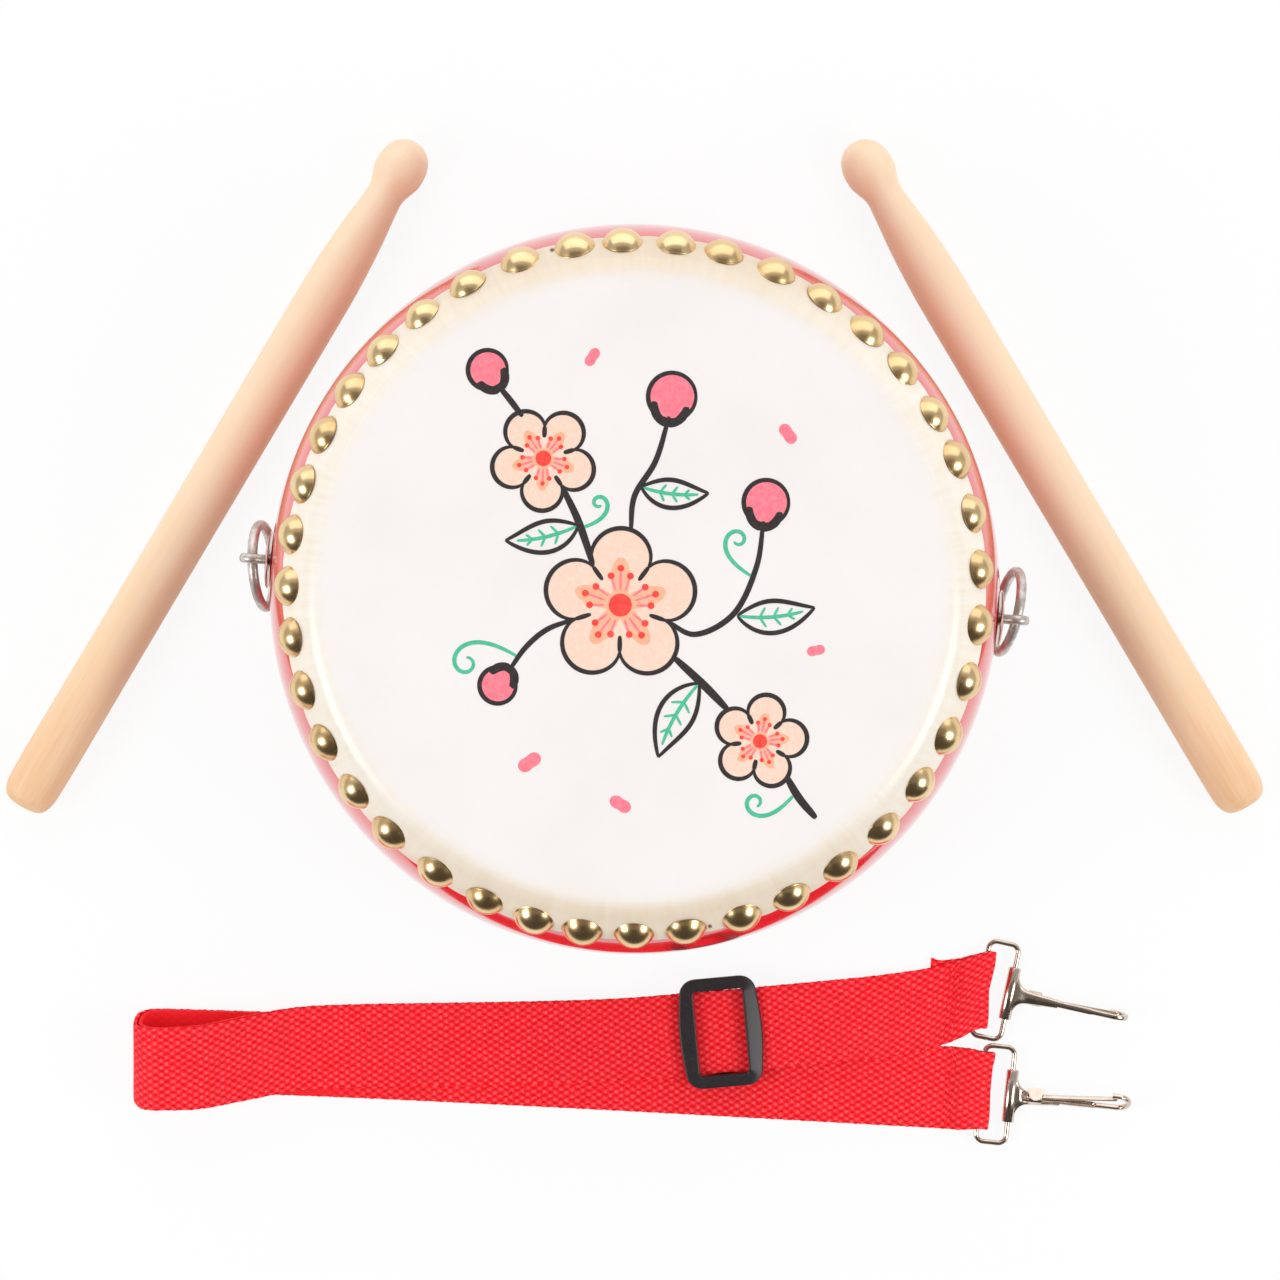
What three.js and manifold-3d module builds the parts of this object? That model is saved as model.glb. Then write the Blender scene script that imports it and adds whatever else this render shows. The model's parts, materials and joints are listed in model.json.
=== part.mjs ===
// A toy drum with its carrying rings, two drumsticks and a webbing strap with snap hooks.
// Millimetres, +Z up. The origin is the centre of the bottom head, on the surface it stands on.
import * as THREE from 'three';
import { mergeVertices } from 'three/addons/utils/BufferGeometryUtils.js';
import Module from 'manifold-3d';

// Clearances
const seatGap = 0.3; // between pieces that rest on each other
const ringPlay = 0.4; // ring wire in its eye
const edgePlay = 0.75; // webbing edge to the slider
const loopPlay = 1.35; // webbing edge to the wire loops

// Shell and heads
const drumHeight = 80; // head face to head face
const shellRadius = 107.8; // widest, at half height
const barrelCurve = 56.7; // the side's radius, seen in section
const shellWall = 10;
const bearingEdge = 2.5; // flat rim that the head lies on
const bearingChamfer = 7; // depth of the slope inside that rim
const hideThickness = 1;
const edgeRound = 8; // the hide's rounding over the rim
const drumFacets = 48;

// Tacks
const tackCount = 40;
const tackPhase = 1.4; // degrees that the first tack stands past the X axis
const tackHeadRadius = 5.95;
const tackDome = 3.9;
const tackShoulderGap = 1; // from the rounding to the heads
const hideTail = 3; // hide that runs on past the tack centres
const hoopWidth = 0.8; // thin hoop that joins a row, along the hide's cut edge

// Carrying rings
const ringAzimuth = -4.6; // degrees, of the right ring
const ringOuterRadius = 13.75;
const ringWireRadius = 1.5;
const ringLean = 10; // degrees in from hanging plumb
const ringYaw = 8; // degrees that the rear end of each ring stands out
const ringSlip = 10; // degrees that each ring has slid round in its eye
const eyeWireRadius = 1;
const shankRadius = 1.7;
const legLength = 8;
const legThickness = 1.6;
const legHeight = 2.6;
const clinchGap = 0.7; // spread legs to the curved wall inside
const plateRadius = 8.5;
const plateThickness = 1;

// Drumsticks
const stickLength = 234;
const stickRadius = 8.05;
const stickNeckRadius = 5.65;
const stickBeadRadius = 7.75;
const stickBeadLength = 18.4;
const stickTaper = 34; // from the neck to the full shaft
const buttRound = 4;
const stickGap = 10.4; // clear floor between drum and stick
const stickAngle = 30.7; // degrees from the drum's front-to-back line
const stickShift = -34; // along the stick, from its nearest point to the drum

// Strap
const webbingWidth = 25;
const webbingThickness = 1.3;
const strapRun = 257; // fold to the wires of the hooks
const strapStart = -151.8; // the fold's place across
const strapGap = 31.6; // drum to the fold's centre line
const foldHeight = 15.4; // the open loop, between the middles of its layers
const foldLength = 68; // where the loop has closed
const foldRoll = 6; // degrees that the loop leans
const foldSkew = 5; // that its upper side lies askew of the lower
const hemLength = 18;
const hemPlay = 1.3; // room for the wire along the hem
const bendFrom = 130; // where the upper run bends aside
const straightFrom = 160; // the level, straight stretch that the slider rides on
const straightTo = 210;
const earlyYaw = 1; // degrees that the upper run is turned before its bend
const sliderYaw = 5.2; // and on the straight stretch

// Slider
const sliderPlace = 178; // from the fold
const sliderLength = 23.4;
const sideBar = 4.2;
const endBar = 3.4;
const sideBow = 0.9;
const frameHeight = 2.4;
const middleBar = 4;
const middleBarHeight = 1.5;
const sliderCorner = 3;

// Snap hooks
const loopWireRadius = 0.8;
const loopDepth = 9.2; // between the middles of its two long bars
const loopCorner = 2.4;
const loopGap = 2.6; // between the two loops
const loopJoint = 0.4; // butt joint of the wire, inside the sleeve
const sleeveLength = 16;
const sheet = 0.8;
const hookReach = 36.5;
const flareLength = 4.5; // where the sheet has gathered from the sleeve into the neck
const neckRoot = 4.4;
const neckLength = 15;
const armWidth = 2;
const armHeight = 1.6;
const noseHeight = 9;
const noseTip = 1.6;
const gateThickness = 0.6;
const collarPlace = 7.5;
const collarLength = 4;
const collarSheet = 0.4;
const upperHookYaw = -12;
const upperHookTilt = 11;
const upperHookLean = 6; // degrees that the arm is twisted out of its sleeve's plane
const upperHemYaw = -7; // the hem turns less than its hook
const lowerHookYaw = -6;
const lowerHookTilt = 2.6;
const lowerHookLean = -32;

const rad = THREE.MathUtils.degToRad;
const wasm = await Module();
wasm.setup();

// Materials
function finish(color, roughness, metalness) {
  return new THREE.MeshStandardMaterial({ color, roughness, metalness });
}
const redLacquer = finish(0xd3202a, 0.18, 0);
const rawhide = finish(0xf3ebdd, 0.5, 0);
const brass = finish(0xc9a24a, 0.25, 1);
const nickel = finish(0xb9b7b2, 0.25, 1);
const paleWood = finish(0xf0cfa6, 0.5, 0);
const redWebbing = finish(0xee2230, 0.8, 0);
const blackPlastic = finish(0x252326, 0.4, 0);

// A closed geometry as a solid that can be joined and cut.
function solidOf(geometry) {
  const bare = geometry.index ? geometry.toNonIndexed() : geometry.clone();
  bare.deleteAttribute('normal');
  bare.deleteAttribute('uv');
  const merged = mergeVertices(bare, 1e-3);
  return new wasm.Manifold(
    new wasm.Mesh({
      numProp: 3,
      vertProperties: new Float32Array(merged.attributes.position.array),
      triVerts: new Uint32Array(merged.index.array),
    }),
  );
}

function geometryOf(solid) {
  const { vertProperties, triVerts } = solid.getMesh();
  const geometry = new THREE.BufferGeometry();
  geometry.setAttribute('position', new THREE.BufferAttribute(vertProperties, 3));
  geometry.setIndex(new THREE.BufferAttribute(triVerts, 1));
  geometry.computeVertexNormals();
  return geometry;
}

function joined(...geometries) {
  return geometryOf(geometries.map(solidOf).reduce((all, one) => all.add(one)));
}

function cut(geometry, ...tools) {
  return geometryOf(tools.map(solidOf).reduce((left, tool) => left.subtract(tool), solidOf(geometry)));
}

function piece(name, geometry, material) {
  const mesh = new THREE.Mesh(geometry, material);
  mesh.name = name;
  return mesh;
}

function placed(children, { x = 0, y = 0, z = 0, turn = 0 } = {}) {
  const group = new THREE.Group();
  group.position.set(x, y, z);
  group.rotation.z = turn;
  group.add(...children);
  return group;
}

// Points on a circle about (x, y), angles in radians.
function arc(x, y, radius, from, to, steps) {
  const points = [];
  for (let i = 0; i <= steps; i++) {
    const angle = from + ((to - from) * i) / steps;
    points.push(new THREE.Vector2(x + radius * Math.cos(angle), y + radius * Math.sin(angle)));
  }
  return points;
}

// A profile of (radius, height) turned about Z, taken so that its outside runs upwards.
function turned(points, facets) {
  const profile = THREE.ShapeUtils.area(points) < 0 ? [...points].reverse() : points;
  return new THREE.LatheGeometry(profile, facets).rotateX(Math.PI / 2);
}

function disc(radius, length, facets) {
  const half = length / 2;
  const corners = [[0, half], [radius, half], [radius, -half], [0, -half]];
  return turned(corners.map(([r, z]) => new THREE.Vector2(r, z)), facets);
}

function box(x, y, z, centre) {
  return new THREE.BoxGeometry(x, y, z).translate(...centre);
}

// A flat outline given a height upwards from z = 0.
function raised(shape, height) {
  return new THREE.ExtrudeGeometry(shape, { depth: height, bevelEnabled: false, curveSegments: 5 });
}

// A path through given points, on which the section's x axis is set at each point.
class Route extends THREE.Curve {
  constructor(points, across) {
    super();
    this.points = points;
    this.across = across;
  }

  getSpacedPoints() {
    return this.points;
  }

  computeFrenetFrames() {
    const last = this.points.length - 1;
    const tangents = this.points.map((point, i) => {
      const before = this.points[Math.max(i - 1, 0)];
      const after = this.points[Math.min(i + 1, last)];
      return after.clone().sub(before).normalize();
    });
    const normals = this.across.map((vector) => vector.clone().normalize());
    const binormals = tangents.map((tangent, i) => tangent.clone().cross(normals[i]).normalize());
    return { tangents, normals, binormals };
  }
}

function swept(shape, route) {
  return new THREE.ExtrudeGeometry(shape, {
    steps: route.points.length - 1,
    extrudePath: route,
    bevelEnabled: false,
  });
}

function rectangle(width, height) {
  const [x, y] = [width / 2, height / 2];
  return new THREE.Shape([[-x, -y], [x, -y], [x, y], [-x, y]].map(([a, b]) => new THREE.Vector2(a, b)));
}

// Drum: the shell's side is an arc, and the hide lies over it and rounds over its rim.
const midHeight = drumHeight / 2;
const skin = hideThickness + seatGap;
const hideCurve = barrelCurve + skin;
const curveAxis = shellRadius - barrelCurve;
const shoulderRise = midHeight - edgeRound;
const shoulderReach = Math.sqrt((hideCurve - edgeRound) ** 2 - shoulderRise ** 2);
const shoulderAngle = Math.atan2(shoulderRise, shoulderReach);
const shoulderRadius = curveAxis + shoulderReach;
const tackAngle = shoulderAngle - (tackHeadRadius + tackShoulderGap) / hideCurve;
const hideEdgeAngle = tackAngle - hideTail / hideCurve;

// The upper side from the rounding down to an angle, at a depth under the hide's outer face.
function crown(depth, toAngle, steps) {
  return [
    ...arc(shoulderRadius, drumHeight - edgeRound, edgeRound - depth, Math.PI / 2, shoulderAngle, 3),
    ...arc(curveAxis, midHeight, hideCurve - depth, shoulderAngle, toAngle, steps).slice(1),
  ];
}

function closed(points) {
  return [...points, points[0]];
}

function upsideDown(points) {
  return points.map((point) => new THREE.Vector2(point.x, drumHeight - point.y));
}

function shellGeometry(pinAngles) {
  const upper = crown(skin, 0, 4);
  const rim = new THREE.Vector2(shoulderRadius - bearingEdge, drumHeight - skin);
  const innerCurve = barrelCurve - shellWall;
  const innerAngle = Math.asin((midHeight - skin - bearingChamfer) / innerCurve);
  const inside = arc(curveAxis, midHeight, innerCurve, -innerAngle, innerAngle, 6);
  const outside = [...upper, ...upsideDown(upper).reverse().slice(1)];
  const profile = closed([rim, ...outside, ...upsideDown([rim]), ...inside]);
  const bores = pinAngles.map((angle) =>
    disc(shankRadius + seatGap, 3 * shellWall, 10)
      .rotateY(Math.PI / 2)
      .translate(shellRadius, 0, midHeight)
      .rotateZ(angle),
  );
  return cut(turned(profile, drumFacets), ...bores);
}

function headProfile() {
  const outer = [new THREE.Vector2(0, drumHeight), ...crown(0, hideEdgeAngle, 3)];
  const inner = [new THREE.Vector2(0, drumHeight - hideThickness), ...crown(hideThickness, hideEdgeAngle, 3)];
  return [...outer, ...inner.reverse()];
}

// A row of domed heads on the hide, joined by the hoop at its cut edge.
function tackRow() {
  const seat = hideCurve + seatGap;
  const dome = [[0, 0], [1, 0], [0.76, 0.66], [0, 1]];
  const domePoints = dome.map(([r, z]) => new THREE.Vector2(r * tackHeadRadius, z * tackDome));
  const heads = [];
  for (let i = 0; i < tackCount; i++) {
    heads.push(
      turned(domePoints, 8)
        .translate(0, 0, seat)
        .rotateY(Math.PI / 2 - tackAngle)
        .translate(curveAxis, 0, midHeight)
        .rotateZ(rad(tackPhase) + (2 * Math.PI * i) / tackCount),
    );
  }
  const hoopTop = hideEdgeAngle - seatGap / hideCurve;
  const hoopBottom = hoopTop - hoopWidth / hideCurve;
  const hoopFoot = barrelCurve + seatGap;
  const hoopCrest = seat + hoopWidth;
  const hoopProfile = [
    ...arc(curveAxis, midHeight, hoopCrest, hoopTop, hoopBottom, 1),
    ...arc(curveAxis, midHeight, hoopFoot, hoopBottom, hoopTop, 1),
  ];
  return joined(turned(closed(hoopProfile), drumFacets), ...heads);
}

// Carrying ring with its split pin and plate, built on the +X side.
const eyeRadius = ringWireRadius + ringPlay + eyeWireRadius;
const plateFoot = shellRadius + seatGap;
const eyePlace = plateFoot + plateThickness + seatGap + eyeRadius + eyeWireRadius;

function ringPlate() {
  const hole = shankRadius + seatGap;
  const corners = [[hole, 0], [plateRadius, 0], [plateRadius, 1], [hole, 1]];
  const profile = corners.map(([r, z]) => new THREE.Vector2(r, z * plateThickness));
  return turned(closed(profile), 20).rotateY(Math.PI / 2).translate(plateFoot, 0, midHeight);
}

function splitPin() {
  const eye = new THREE.TorusGeometry(eyeRadius, eyeWireRadius, 8, 16)
    .rotateX(Math.PI / 2)
    .translate(eyePlace, 0, midHeight);
  const legPlace = shellRadius - shellWall - clinchGap - legThickness / 2;
  const shankEnd = eyePlace - eyeRadius;
  const shank = disc(shankRadius, shankEnd - legPlace, 10)
    .rotateY(Math.PI / 2)
    .translate((shankEnd + legPlace) / 2, 0, midHeight);
  const legs = box(legThickness, 2 * legLength, legHeight, [legPlace, 0, midHeight]);
  return joined(eye, shank, legs);
}

function carryRing(yaw) {
  const wireCentre = ringOuterRadius - ringWireRadius;
  return new THREE.TorusGeometry(wireCentre, ringWireRadius, 8, 28)
    .rotateY(Math.PI / 2)
    .translate(0, 0, -wireCentre)
    .rotateX(rad(ringSlip))
    .rotateY(rad(ringLean))
    .rotateZ(rad(yaw))
    .translate(eyePlace, 0, midHeight);
}

function ringSet(side, turn, yaw) {
  return placed(
    [
      piece(`${side}_ring_plate`, ringPlate(), nickel),
      piece(`${side}_ring_pin`, splitPin(), nickel),
      piece(`${side}_carry_ring`, carryRing(yaw), nickel),
    ],
    { turn },
  );
}

// Drumstick lying along Y with its bead at the far end.
function stickGeometry() {
  const neck = stickLength - stickBeadLength;
  const beadMiddle = stickLength - stickBeadLength / 2;
  const shoulder = neck - stickTaper;
  const swell = stickRadius - stickNeckRadius;
  const bead = [60, 90, 120, 150, 168].map((degrees) => {
    const along = Math.cos(rad(degrees)) * (stickBeadLength / 2);
    return new THREE.Vector2(stickBeadRadius * Math.sin(rad(degrees)), beadMiddle - along);
  });
  const shaft = [[0.1, 0.96], [0.5, 0.62], [1, 0]].map(
    ([along, rise]) => new THREE.Vector2(stickNeckRadius + swell * rise, shoulder + stickTaper * along),
  );
  const profile = [
    new THREE.Vector2(0, 0),
    ...arc(stickRadius - buttRound, buttRound, buttRound, -Math.PI / 2, 0, 3),
    new THREE.Vector2(stickRadius, shoulder - stickTaper / 2),
    ...shaft,
    ...bead,
    new THREE.Vector2(0, stickLength),
  ];
  return turned(profile, 12).translate(0, 0, -stickLength / 2).rotateX(-Math.PI / 2);
}

function stick(side, hand) {
  const away = shellRadius + stickGap + stickRadius;
  const [sin, cos] = [Math.sin(rad(stickAngle)), Math.cos(rad(stickAngle))];
  const place = {
    x: hand * (away * cos - stickShift * sin),
    y: away * sin + stickShift * cos,
    z: stickRadius,
    turn: hand * rad(stickAngle),
  };
  return placed([piece(`${side}_drumstick`, stickGeometry(), paleWood)], place);
}

// Strap levels: two layers of the lower run on the ground, then the inner and outer layer of the upper run.
const layer = webbingThickness + seatGap;
const groundLevel = webbingThickness / 2 + seatGap / 2;
const outerLevel = groundLevel + layer + webbingThickness + 2 * seatGap + middleBarHeight;
const wrapRadius = loopWireRadius + seatGap + webbingThickness / 2;
const wireLevel = groundLevel + wrapRadius;
const loopLength = webbingWidth + 2 * loopPlay + 2 * loopWireRadius;
const spread = loopLength + 2 * loopWireRadius + loopGap;
const upperEnd = 0.56 * spread;
const lowerEnd = -0.4 * spread;

// The middle line of the upper run: nearly straight, a bend, the slider's stretch, and a bend to the hook.
function upperLine(x) {
  const early = Math.tan(rad(earlyYaw));
  const more = Math.tan(rad(sliderYaw)) - early;
  const bendLength = straightFrom - bendFrom;
  const steady = (along) => {
    const bent = THREE.MathUtils.clamp(along - bendFrom, 0, bendLength);
    const past = Math.max(along - straightFrom, 0);
    return early * Math.max(along, 0) + more * (bent ** 2 / (2 * bendLength) + past);
  };
  const last = Math.max(x - straightTo, 0) / (strapRun - straightTo);
  return steady(x) + (upperEnd - steady(strapRun)) * last ** 2;
}

function lowerLine(x) {
  return lowerEnd * (Math.max(x, 0) / strapRun) ** 1.2;
}

function across(yaw, roll) {
  return new THREE.Vector3(-Math.sin(yaw), Math.cos(yaw) * Math.cos(roll), Math.sin(roll));
}

// A station of the strap: place along the run, height, and the direction across the webbing.
function strapPoint(x, z, upper) {
  const line = upper ? upperLine : lowerLine;
  const along = Math.atan(line(x + 1) - line(x));
  const end = rad(upper ? upperHemYaw : lowerHookYaw);
  const near = THREE.MathUtils.smoothstep(x, straightTo, strapRun - 2 * wrapRadius);
  const roll = rad(foldRoll) * (1 - THREE.MathUtils.smoothstep(x, 0, foldLength));
  const lift = (webbingWidth / 2) * Math.sin(roll);
  const high = THREE.MathUtils.smoothstep(z, groundLevel, groundLevel + foldHeight);
  const skew = foldSkew * high * (1 - THREE.MathUtils.smoothstep(x, 0.3 * foldLength, foldLength));
  return {
    point: new THREE.Vector3(x, line(x) - skew, z + lift),
    across: across(along + (end - along) * near, roll),
  };
}

// The stations round a hook's wire, with play for the wire along the hem.
function wrapPoints(upper) {
  const yaw = rad(upper ? upperHemYaw : lowerHookYaw);
  const line = upper ? upperEnd : lowerEnd;
  return arc(hemPlay, wireLevel, wrapRadius, -Math.PI / 2, Math.PI / 2, 8).map((p) => ({
    point: new THREE.Vector3(strapRun + p.x * Math.cos(yaw), line + p.x * Math.sin(yaw), p.y),
    across: across(yaw, 0),
  }));
}

// The open fold, from the upper run down to the lower run, as (along, height) of a layer's middle.
function foldLine(inset) {
  const bottom = groundLevel + inset;
  const top = groundLevel + foldHeight - inset;
  const middle = (bottom + top) / 2;
  const half = (top - bottom) / 2;
  const nose = groundLevel + inset;
  const start = outerLevel - inset;
  const closing = [[1, 0], [0.74, 0.13], [0.5, 0.5], [0.3, 0.88]].map(
    ([along, rise]) => new THREE.Vector2(foldLength * along, start + (top - start) * rise),
  );
  const round = arc(nose + half * 1.1, middle, half, Math.PI / 2, 1.5 * Math.PI, 8);
  const bend = round.map((point) => new THREE.Vector2(nose + (point.x - nose) * 1.1 - half * 0.11, point.y));
  return [...closing, ...bend, new THREE.Vector2(foldLength * 0.4, bottom)];
}

function strapStations() {
  const points = [];
  const add = (line, upper) => line.forEach((p) => points.push(strapPoint(p.x, p.y, upper)));
  const at = (x, z) => new THREE.Vector2(x, z);
  const pressed = groundLevel + layer;
  const hemStart = strapRun - hemLength;
  const down = (straightTo + hemStart) / 2;
  const overWire = at(strapRun - 3 * wrapRadius, wireLevel + wrapRadius);
  const rise = [overWire, at(strapRun - 0.6 * hemLength, pressed)];
  add([at(hemStart, groundLevel), at(strapRun - hemLength / 2, groundLevel)], true);
  points.push(...wrapPoints(true));
  add(rise, true);
  add([at(hemStart, pressed), at(down, (outerLevel + pressed) / 2)], true);
  add([at(straightTo, outerLevel), at(sliderPlace, outerLevel), at(straightFrom, outerLevel)], true);
  add([at(bendFrom, outerLevel), at((bendFrom + foldLength) / 2, outerLevel)], true);
  const outer = foldLine(0);
  add(outer.slice(0, 8), true);
  add(outer.slice(8), false);
  add([0.25, 0.45, 0.65, 0.85].map((share) => at(strapRun * share, groundLevel)), false);
  points.push(...wrapPoints(false));
  add(rise, false);
  add([0.85, 0.65, 0.45, 0.25].map((share) => at(strapRun * share, pressed)), false);
  const inner = foldLine(layer).reverse();
  add(inner.slice(0, 6), false);
  add(inner.slice(6), true);
  const innerEnd = sliderPlace - middleBar / 2 - seatGap;
  add([0.5, 0.7, 0.85, 1].map((share) => at(innerEnd * share, outerLevel - layer)), true);
  return points;
}

function strapWebbing() {
  const stations = strapStations();
  const spans = 2 * (stations.length - 1);
  const points = new THREE.CatmullRomCurve3(stations.map((s) => s.point)).getPoints(spans);
  const width = new THREE.CatmullRomCurve3(stations.map((s) => s.across)).getPoints(spans);
  return swept(rectangle(webbingWidth, webbingThickness), new Route(points, width));
}

// Three-bar slider: its side bars lie on the upper run, and its middle bar passes under it.
function sliderGeometry() {
  const half = sliderLength / 2;
  const inside = webbingWidth / 2 + edgePlay;
  const end = inside + endBar;
  const outline = new THREE.Shape();
  outline.moveTo(-half + sliderCorner, -end);
  outline.lineTo(half - sliderCorner, -end);
  outline.quadraticCurveTo(half, -end, half, -end + sliderCorner);
  outline.quadraticCurveTo(half + 2 * sideBow, 0, half, end - sliderCorner);
  outline.quadraticCurveTo(half, end, half - sliderCorner, end);
  outline.lineTo(-half + sliderCorner, end);
  outline.quadraticCurveTo(-half, end, -half, end - sliderCorner);
  outline.quadraticCurveTo(-half - 2 * sideBow, 0, -half, -end + sliderCorner);
  outline.quadraticCurveTo(-half, -end, -half + sliderCorner, -end);
  const window = rectangle(sliderLength - 2 * sideBar, 2 * inside);
  outline.holes.push(new THREE.Path(window.getPoints()));
  const foot = groundLevel + layer + webbingThickness / 2 + seatGap;
  const seat = outerLevel + webbingThickness / 2 + seatGap;
  const frame = raised(outline, frameHeight).translate(0, 0, seat);
  const postHeight = seat + frameHeight / 2 - foot;
  const posts = [-1, 1].map((hand) =>
    box(2 * middleBar, 0.8 * endBar, postHeight, [0, hand * (inside + endBar / 2), foot + postHeight / 2]),
  );
  const bar = box(middleBar, 2 * inside + endBar, middleBarHeight, [0, 0, foot + middleBarHeight / 2]);
  return joined(frame, ...posts, bar);
}

// Wire loop between webbing and hook. Its near bar lies on the Y axis, its butt joint is in the far bar.
function hookLoop() {
  const half = loopLength / 2;
  const corner = (x, y, from) => arc(x, y, loopCorner, from, from + Math.PI / 2, 3);
  const [far, reach] = [loopDepth, half - loopCorner];
  const outline = [
    new THREE.Vector2(far, loopJoint / 2),
    ...corner(far - loopCorner, reach, 0),
    ...corner(loopCorner, reach, Math.PI / 2),
    ...corner(loopCorner, -reach, Math.PI),
    ...corner(far - loopCorner, -reach, 1.5 * Math.PI),
    new THREE.Vector2(far, -loopJoint / 2),
  ];
  const points = outline.map((p) => new THREE.Vector3(p.x, p.y, 0));
  const upright = points.map(() => new THREE.Vector3(0, 0, 1));
  const section = new THREE.Shape(arc(0, 0, loopWireRadius, 0, 1.75 * Math.PI, 7));
  return swept(section, new Route(points, upright));
}

const loopBore = loopWireRadius + seatGap;
const neckStart = loopBore + sheet / 2;
const neckEnd = armWidth + 2 * seatGap;

function neckWidth(x) {
  return THREE.MathUtils.mapLinear(x, neckStart, neckLength, neckRoot, neckEnd);
}

// Hook body: sleeve round the loop's far bar on the Y axis, neck, and an arm that ends in a nose.
function hookBody(lean) {
  const sleeveShape = new THREE.Shape(arc(0, 0, loopBore + sheet, 0, 1.8 * Math.PI, 9));
  sleeveShape.holes.push(new THREE.Path(arc(0, 0, loopBore, 0, 1.8 * Math.PI, 9)));
  const sleeve = raised(sleeveShape, sleeveLength).translate(0, 0, -sleeveLength / 2).rotateX(Math.PI / 2);
  const [wide, narrow] = [0.42 * sleeveLength, neckWidth(flareLength) / 2];
  const flareShape = new THREE.Shape();
  flareShape.moveTo(neckStart, -wide);
  flareShape.quadraticCurveTo(neckStart + sheet, -narrow, flareLength, -narrow);
  flareShape.lineTo(flareLength, narrow);
  flareShape.quadraticCurveTo(neckStart + sheet, narrow, neckStart, wide);
  const flare = raised(flareShape, sheet).translate(0, 0, -sheet / 2);
  const neckShape = new THREE.Shape([
    new THREE.Vector2(neckStart, -neckRoot / 2),
    new THREE.Vector2(neckLength, -neckEnd / 2),
    new THREE.Vector2(neckLength, neckEnd / 2),
    new THREE.Vector2(neckStart, neckRoot / 2),
  ]);
  const neck = raised(neckShape, armHeight).translate(0, 0, -armHeight / 2);
  return joined(sleeve, flare, joined(neck, armGeometry()).rotateX(rad(lean)));
}

// A flat side view in (along, height), given a width across.
function sideways(shape, width) {
  return raised(shape, width).translate(0, 0, -width / 2).rotateX(Math.PI / 2);
}

const noseRadius = noseHeight / 2;

function armGeometry() {
  const noseMiddle = noseRadius - armHeight / 2;
  const bend = hookReach - noseRadius;
  const outside = arc(bend, noseMiddle, noseRadius, -Math.PI / 2, Math.PI / 2, 8);
  const inside = arc(bend, noseMiddle, noseRadius - armHeight, Math.PI / 2, -Math.PI / 2, 8);
  const top = noseHeight - armHeight / 2;
  const tip = [new THREE.Vector2(bend - noseTip, top), new THREE.Vector2(bend - noseTip, top - armHeight)];
  const foot = [
    new THREE.Vector2(neckLength - armWidth, armHeight / 2),
    new THREE.Vector2(neckLength - armWidth, -armHeight / 2),
  ];
  return sideways(new THREE.Shape([...outside, ...tip, ...inside, ...foot]), armWidth);
}

// Spring gate: a leaf from the collar up to the underside of the nose's tip.
function hookGate(lean) {
  const pivotHeight = armHeight / 2 + seatGap + gateThickness / 2;
  const tipHeight = noseHeight - 1.5 * armHeight - seatGap - gateThickness;
  const tipPlace = hookReach - noseRadius;
  const tail = collarLength / 2 - seatGap;
  const slope = (tipHeight - pivotHeight) / (tipPlace - collarPlace);
  const line = [[collarPlace - tail, pivotHeight], [collarPlace, pivotHeight], [tipPlace, tipHeight]];
  const upper = line.map(([x, z]) => new THREE.Vector2(x - slope * gateThickness, z + gateThickness / 2));
  const lower = line.map(([x, z]) => new THREE.Vector2(x, z - gateThickness / 2));
  const leaf = sideways(new THREE.Shape([...lower, ...upper.reverse()]), armWidth - 2 * seatGap);
  return leaf.rotateX(rad(lean));
}

// Collar round the neck and the gate's root.
function hookCollar(lean) {
  const inWidth = neckWidth(collarPlace - collarLength / 2) + 2 * seatGap;
  const low = -armHeight / 2 - seatGap;
  const high = armHeight / 2 + 2 * seatGap + gateThickness + 2 * seatGap;
  const outWidth = inWidth + 2 * collarSheet;
  const ring = box(collarLength, outWidth, high - low + 2 * collarSheet, [0, 0, (high + low) / 2]);
  const hole = box(2 * collarLength, inWidth, high - low, [0, 0, (high + low) / 2]);
  return cut(ring, hole).translate(collarPlace, 0, 0).rotateX(rad(lean));
}

// A hook on its loop at one end of the strap. Turned over, its gate faces the ground.
function hookSet(side, y, { yaw, tilt, lean, turnedOver }) {
  const loop = piece(`${side}_hook_loop`, hookLoop(), nickel);
  const hook = new THREE.Group();
  hook.position.x = loopDepth;
  hook.rotation.y = -rad(tilt);
  const over = new THREE.Group();
  over.rotation.x = turnedOver ? Math.PI : 0;
  over.add(
    piece(`${side}_hook_body`, hookBody(lean), nickel),
    piece(`${side}_hook_collar`, hookCollar(lean), nickel),
    piece(`${side}_hook_gate`, hookGate(lean), nickel),
  );
  hook.add(over);
  return placed([loop, hook], { x: strapRun, y, z: wireLevel, turn: rad(yaw) });
}

function strapSet() {
  return placed(
    [
      piece('strap_webbing', strapWebbing(), redWebbing),
      placed([piece('strap_slider', sliderGeometry(), blackPlastic)], {
        x: sliderPlace,
        y: upperLine(sliderPlace),
        turn: rad(sliderYaw),
      }),
      hookSet('upper', upperEnd, {
        yaw: upperHookYaw,
        tilt: upperHookTilt,
        lean: upperHookLean,
        turnedOver: true,
      }),
      hookSet('lower', lowerEnd, {
        yaw: lowerHookYaw,
        tilt: lowerHookTilt,
        lean: lowerHookLean,
        turnedOver: false,
      }),
    ],
    { x: strapStart, y: -(shellRadius + strapGap) },
  );
}

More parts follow.
